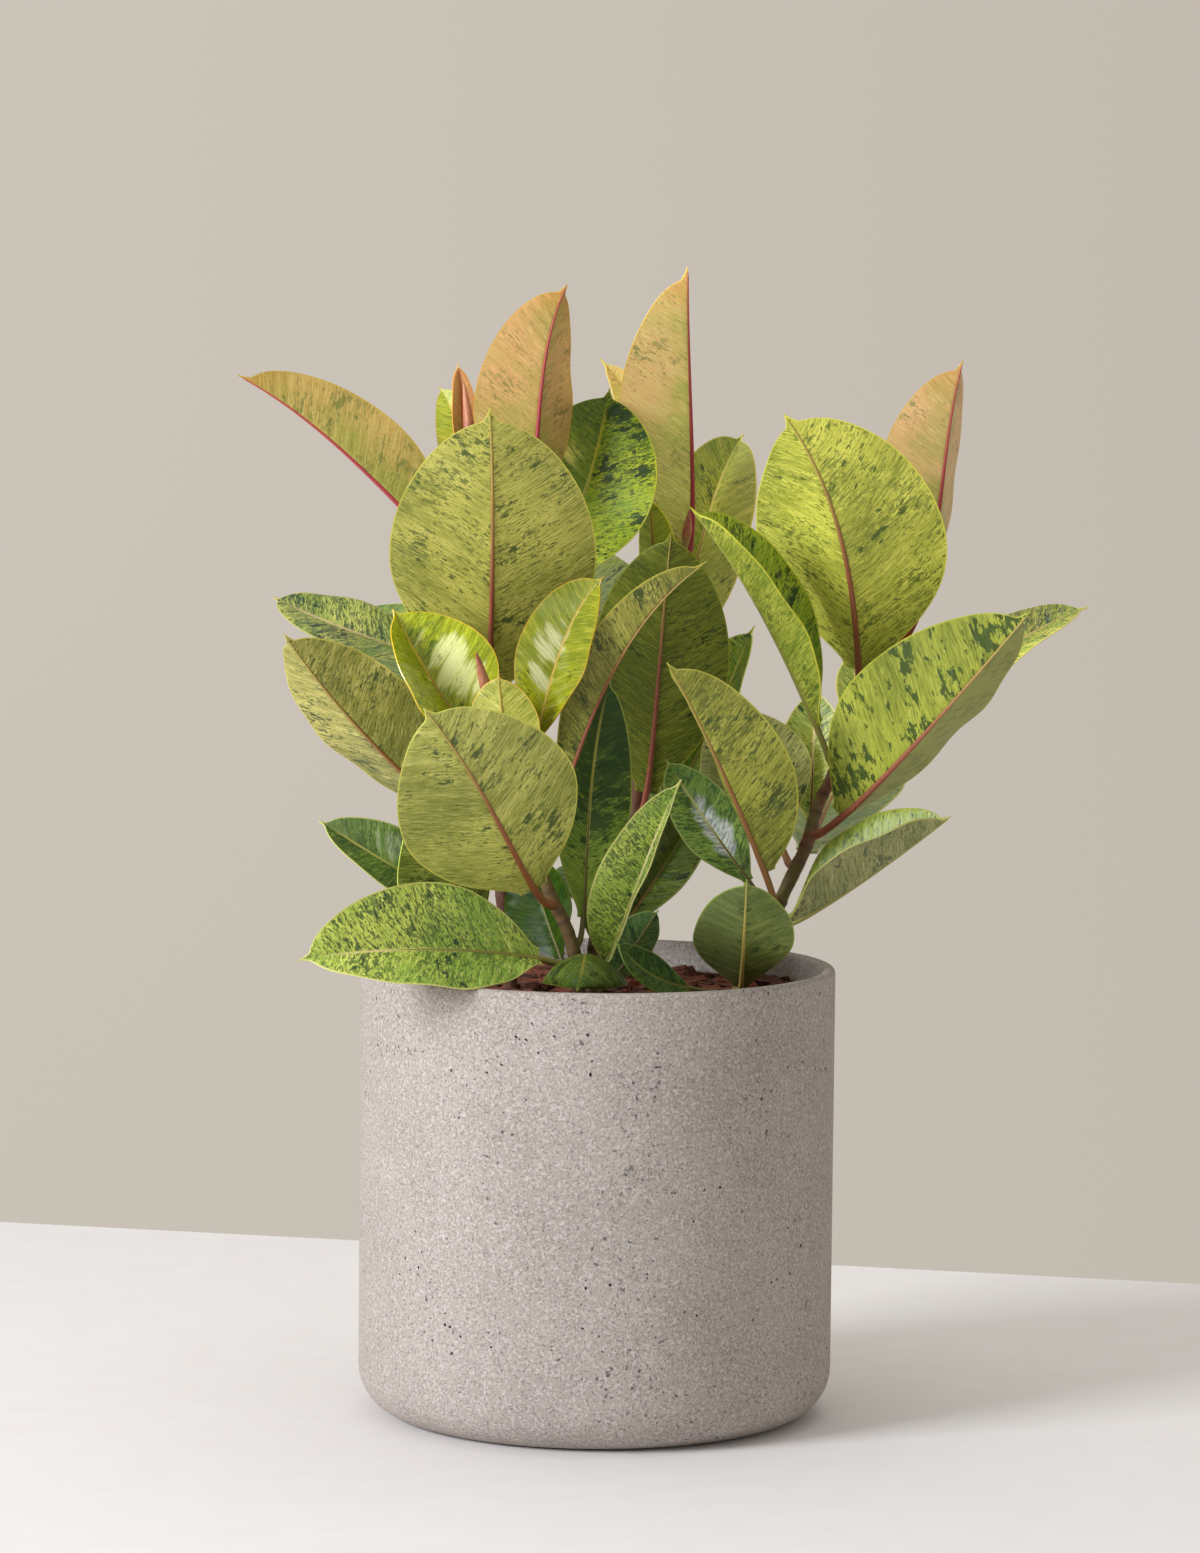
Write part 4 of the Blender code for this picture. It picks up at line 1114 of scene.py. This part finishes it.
def makeSkin(kind, face, look):  # one face of a kind of leaf
    material, shader = newMaterial(f"{kind}_{face}")
    x, y, seed = field("leafPlace").split()
    u, v, margin = field("leafShare").split()
    tint, red, marble = field("leafTone").split()
    paintedHalfLight, paintedSheen, smear = field("leafMore").split()
    paintedSheenU, paintedSheenV, blots = field("leafPaintedSheenAndBlots").split()
    young = kind == "young"
    angle = math.radians(bladeLook["veinAngle"])
    away = abs(x)
    sideSeed = seed + x.over(-0.0001, 0.0001) * 7.3
    flat = pack(x, y, seed)
    wobble = noise(flat, 38.0, 2.0) * 0.005
    across = y * math.sin(angle) - away * math.cos(angle) + wobble  # counts from vein to vein
    along = y * math.cos(angle) + away * math.sin(angle)  # runs out along a vein

    def veined(perAcross, perAlong, detail, roughness, shift=0):  # a pattern that runs with the side veins
        place = pack(across * perAcross, along * perAlong, sideSeed + shift)
        return noise(place, 1.0, detail, roughness)

    clouds = noise(flat, 24.0, 3.0, 0.55)
    patches = veined(62, 40, 3.0, 0.6)
    streaks = veined(1350, 120, 2.0, 0.6)
    flecks = veined(700, 185, 5.0, 0.66)
    dots = veined(1200, 430, 3.0, 0.6)
    ribbons = veined(170, 16, 3.0, 0.55, 9)
    blot = veined(330, 120, 5.0, 0.66, 3)
    grain = noise(flat, 1500.0, 1.0)
    saw = (across * (1 / bladeLook["veinGap"])) % 1.0
    vein = (1 - abs(saw - 0.5).over(0.0, 0.06)) * away.over(0.001, 0.004)
    fineSaw = (across * (3 / bladeLook["veinGap"]) + streaks * 0.3 + clouds * 4) % 1.0
    fineVein = 1 - abs(fineSaw - 0.5).over(0.0, 0.3)

    ground = clouds * 0.9 + tint * 0.28 + (streaks - 0.5) * 0.5 + (patches - 0.5) * 0.5 + 0.05
    if young:  # greener along the midrib and towards the foot
        ground = clouds * 1.3 + (patches - 0.5) * 0.7 - (1 - away.over(0.0, 0.022)) * 0.25
        ground = ground - (1 - v.over(0.0, 0.75)) * 0.45 + 0.12
    ground = ground + (ribbons - 0.5) * look["stripes"]
    colour = ground.over(0.2, 0.85).mix(look["deep"], look["pale"])
    if young:
        colour = (v.over(0.78, 1.0) * 0.6).mix(colour, sharedColours["youngTip"])
    colour = (streaks.over(0.52, 0.7) * 0.42).mix(colour, look["light"])
    colour = ((1 - streaks.over(0.3, 0.46)) * 0.3).mix(colour, look["mark"])
    colour = (fineVein * 0.06 + vein * look["veins"]).mix(colour, look["light"])
    colour = (ribbons.over(0.54, 0.68) * look["stripes"] * 0.35).mix(colour, look["light"])
    # painted light and shade on one half of the blade: it turns greyer, and its markings show less
    paintedHalfLightMask = (u * paintedHalfLight).over(0.0, 0.03) * abs(paintedHalfLight)
    colour = (paintedHalfLightMask * 0.7).mix(colour, look["paintedHalfLight"])
    shown = 1 - paintedHalfLightMask * 0.5
    cover = marble * 0.28 + (patches - 0.5) * look["clump"] + smear * (v - 0.4) * 0.4
    small = (flecks + cover - 0.69).over(0.0, 0.03) * (0.5 + clouds.over(0.35, 0.65) * 0.4)
    small = small.maths("MAXIMUM", (dots + cover - 0.70).over(0.0, 0.05) * look["speckle"])
    large = (blot + (patches - 0.5) * 0.7 + blots * 0.155 + smear * (v - 0.4) * 0.3 - 0.70).over(0.0, 0.018)
    marks = small.maths("MAXIMUM", large) * margin.over(0.0003, 0.0011) * look["marks"] * shown
    colour = marks.mix(colour, look["mark"])
    # Painted sheen: pale patches of painted sky reflection round a place across and along the blade, broken
    # by clouds and veins.
    fromPaintedSheen = (u - paintedSheenU) * (u - paintedSheenU) * 3.0 + (v - paintedSheenV) * (v - paintedSheenV) * 6.0
    shine = 1 - fromPaintedSheen + (clouds - 0.5) * 2.0 + (ribbons - 0.5) * 2.2 + (flecks - 0.5) * 0.8
    shine = shine.over(0.5, 1.05) * paintedSheen * (1 - abs(u).over(0.75, 0.97)) * (1 - marks * 0.6)
    colour = (shine * (0.6 + fineVein * 0.4)).mix(colour, sharedColours["paintedSkyReflection"])
    colour = ((1 - margin.over(0.0003, 0.0009)) * 0.8).mix(colour, look["margin"])
    line = (1 - away.over(0.0004, 0.0011)) * (1 - v.over(0.7, 1.0))
    redRib = face == "under" or young
    ribColour = red.mix(look["rib"], sharedColours["redRib"]) if redRib else look["rib"]
    colour = (line * 0.75).mix(colour, ribColour)
    colour = colour.times(field("leafGain"))
    rough = look["rough"] + clouds * 0.1 + grain * 0.08 - 0.09
    height = vein * 0.5 + fineVein * 0.22 + streaks * 0.35 + grain * 0.06
    plug(shader, baseColor=colour, roughness=rough, coat=look["coat"], coatRoughness=0.22,
         normal=bump(height, 0.3 if face == "under" else 0.26, 0.0006), specular=look["shine"])
    return material


def makeRibSkin(kind, colours):
    material, shader = newMaterial(f"{kind}_rib")
    foot, plain, end = colours
    x, y, seed = field("leafPlace").split()
    v = field("leafShare").split()[1]
    red = field("leafTone").split()[1]
    fibres = noise(pack(x, y * 0.2, seed), 900.0, 3.0)
    grain = noise(objectPoint(), 1400.0, 2.0)
    colour = red.mix(plain, foot)
    colour = (v.over(0.35, 0.95) * (0.35 if kind == "young" else 0.8)).mix(colour, end)
    colour = (grain.over(0.5, 0.75) * 0.25).mix(colour, end)
    plug(shader, baseColor=colour, roughness=0.42 + grain * 0.12, normal=bump(fibres + grain, 0.25, 0.0004))
    return material


def makeLeaves(look):
    skins = {(kind, face): makeSkin(kind, face, {**faces["both"], **faces[face]})
             for kind, faces in skinLook.items() for face in ("under", "upper")}
    ribs = {kind: makeRibSkin(kind, colours) for kind, colours in ribLook.items()}
    broad = makeBladeKind("broadBlade", *look["fine"])
    small = makeBladeKind("smallBlade", *look["small"])
    rod = makeRod("ribRod", look["ribSides"], look["ribRings"])
    for stemName, group in leaves.items():
        for number, leaf in enumerate(group, 1):
            name = f"{stemName}_{number}"
            blade = copyOf(broad if leaf.width >= look["smallUnder"] else small, f"leaf_{name}_blade")
            growBlade(blade, leaf, stemName, name)
            rib = copyOf(rod, "rib")
            growRib(rib, leaf, stemName, name, number)
            for slot, face in enumerate(("upper", "under")):
                blade.data.materials[slot] = skins[leaf.kind, face]
            dress(rib, ribs[leaf.kind])
            grown = joinAll([blade, rib], f"leaf_{name}_grown")
            finish(grown, f"leaf_{name}", 50)
    for master in (broad, small, rod):
        bpy.data.objects.remove(master)


makeStems(stemLook)
print("stems made")
makeLeaves(bladeLook)
print("leaves made")


Bud = namedtuple("Bud", "length radius lean heading")  # mm and degrees
buds = {
    "left": Bud(42, 3.2, 9, 150),
    "front": Bud(28, 2.8, 28, -120),
    "back": Bud(18, 2.4, 5, 60),
    "right": Bud(32, 3.4, 10, 20),
}
budLook = {
    "gap": 0.3 * mm,
    "sunk": 2 * mm,  # how deep it sits in the stem
    "foot": 0.7,  # radius where it stands, of the widest
    "tip": 0.35 * mm,
    "rings": 48,
    "sides": 24,
    "seam": 0.1,  # step where the rolled sheath overlaps, of the radius
    "tone": rgb(206, 140, 104),
    "deep": rgb(170, 92, 72),
    "green": rgb(160, 150, 84),
    "fibre": rgb(236, 170, 116),
}


def makeBudSkin(look):
    material, shader = newMaterial("budSkin")
    share = field("budPlace").split()[0]
    point = objectPoint()
    x, y, z = point.split()
    fibres = noise(pack(x * 900, y * 900, z * 90), 1.0, 3.0)
    clouds = noise(point, 120.0, 3.0)
    colour = clouds.over(0.35, 0.65).mix(look["deep"], look["tone"])
    colour = ((1 - share.over(0.0, 0.35)) * 0.7).mix(colour, look["green"])
    colour = (fibres.over(0.5, 0.72) * 0.4).mix(colour, look["fibre"])
    plug(shader, baseColor=colour, roughness=0.4 + fibres * 0.15, normal=bump(fibres, 0.35, 0.0006))
    return material


def makeBuds(look):
    rod = makeRod("budRod", look["sides"], look["rings"])
    material = makeBudSkin(look)
    for name, bud in buds.items():
        stemLine = smoothPath(stems[name].points, stemSteps) * mm
        along = unit(stemLine[-1] - stemLine[-2])
        lean, heading = math.radians(bud.lean), math.radians(bud.heading)
        aim = np.array([math.sin(lean) * math.cos(heading), math.sin(lean) * math.sin(heading),
                        math.cos(lean)])
        share = np.linspace(0, 1, look["rings"] + 1)
        ways = unit(along * (1 - share[:, None]) + aim * share[:, None])
        path = stemLine[-1] + along * look["gap"] + np.cumsum(ways, axis=0) * bud.length * mm / look["rings"]
        path[0] -= along * look["sunk"]
        swell = np.sin(np.pi * np.minimum(1, share / 0.5) / 2) * (1 - look["foot"]) + look["foot"]
        radii = bud.radius * mm * swell * (1 - share**2.2) + look["tip"]
        piece = copyOf(rod, f"bud_{name}_grown")
        place = np.clip(cornersOf(piece)[:, 2], 0, 1)
        bendRod(piece, path, *crossingDirections(path), radii,
                lambda angle, height: 1 + look["seam"] * (((angle / (2 * np.pi)) + height * 0.8) % 1 - 0.5))
        writeField(piece, "budPlace", np.outer(place, (1, 0, 0)))
        dress(piece, material)
        finish(piece, f"bud_{name}", 50)
    bpy.data.objects.remove(rod)


makeBuds(budLook)
print("buds made")
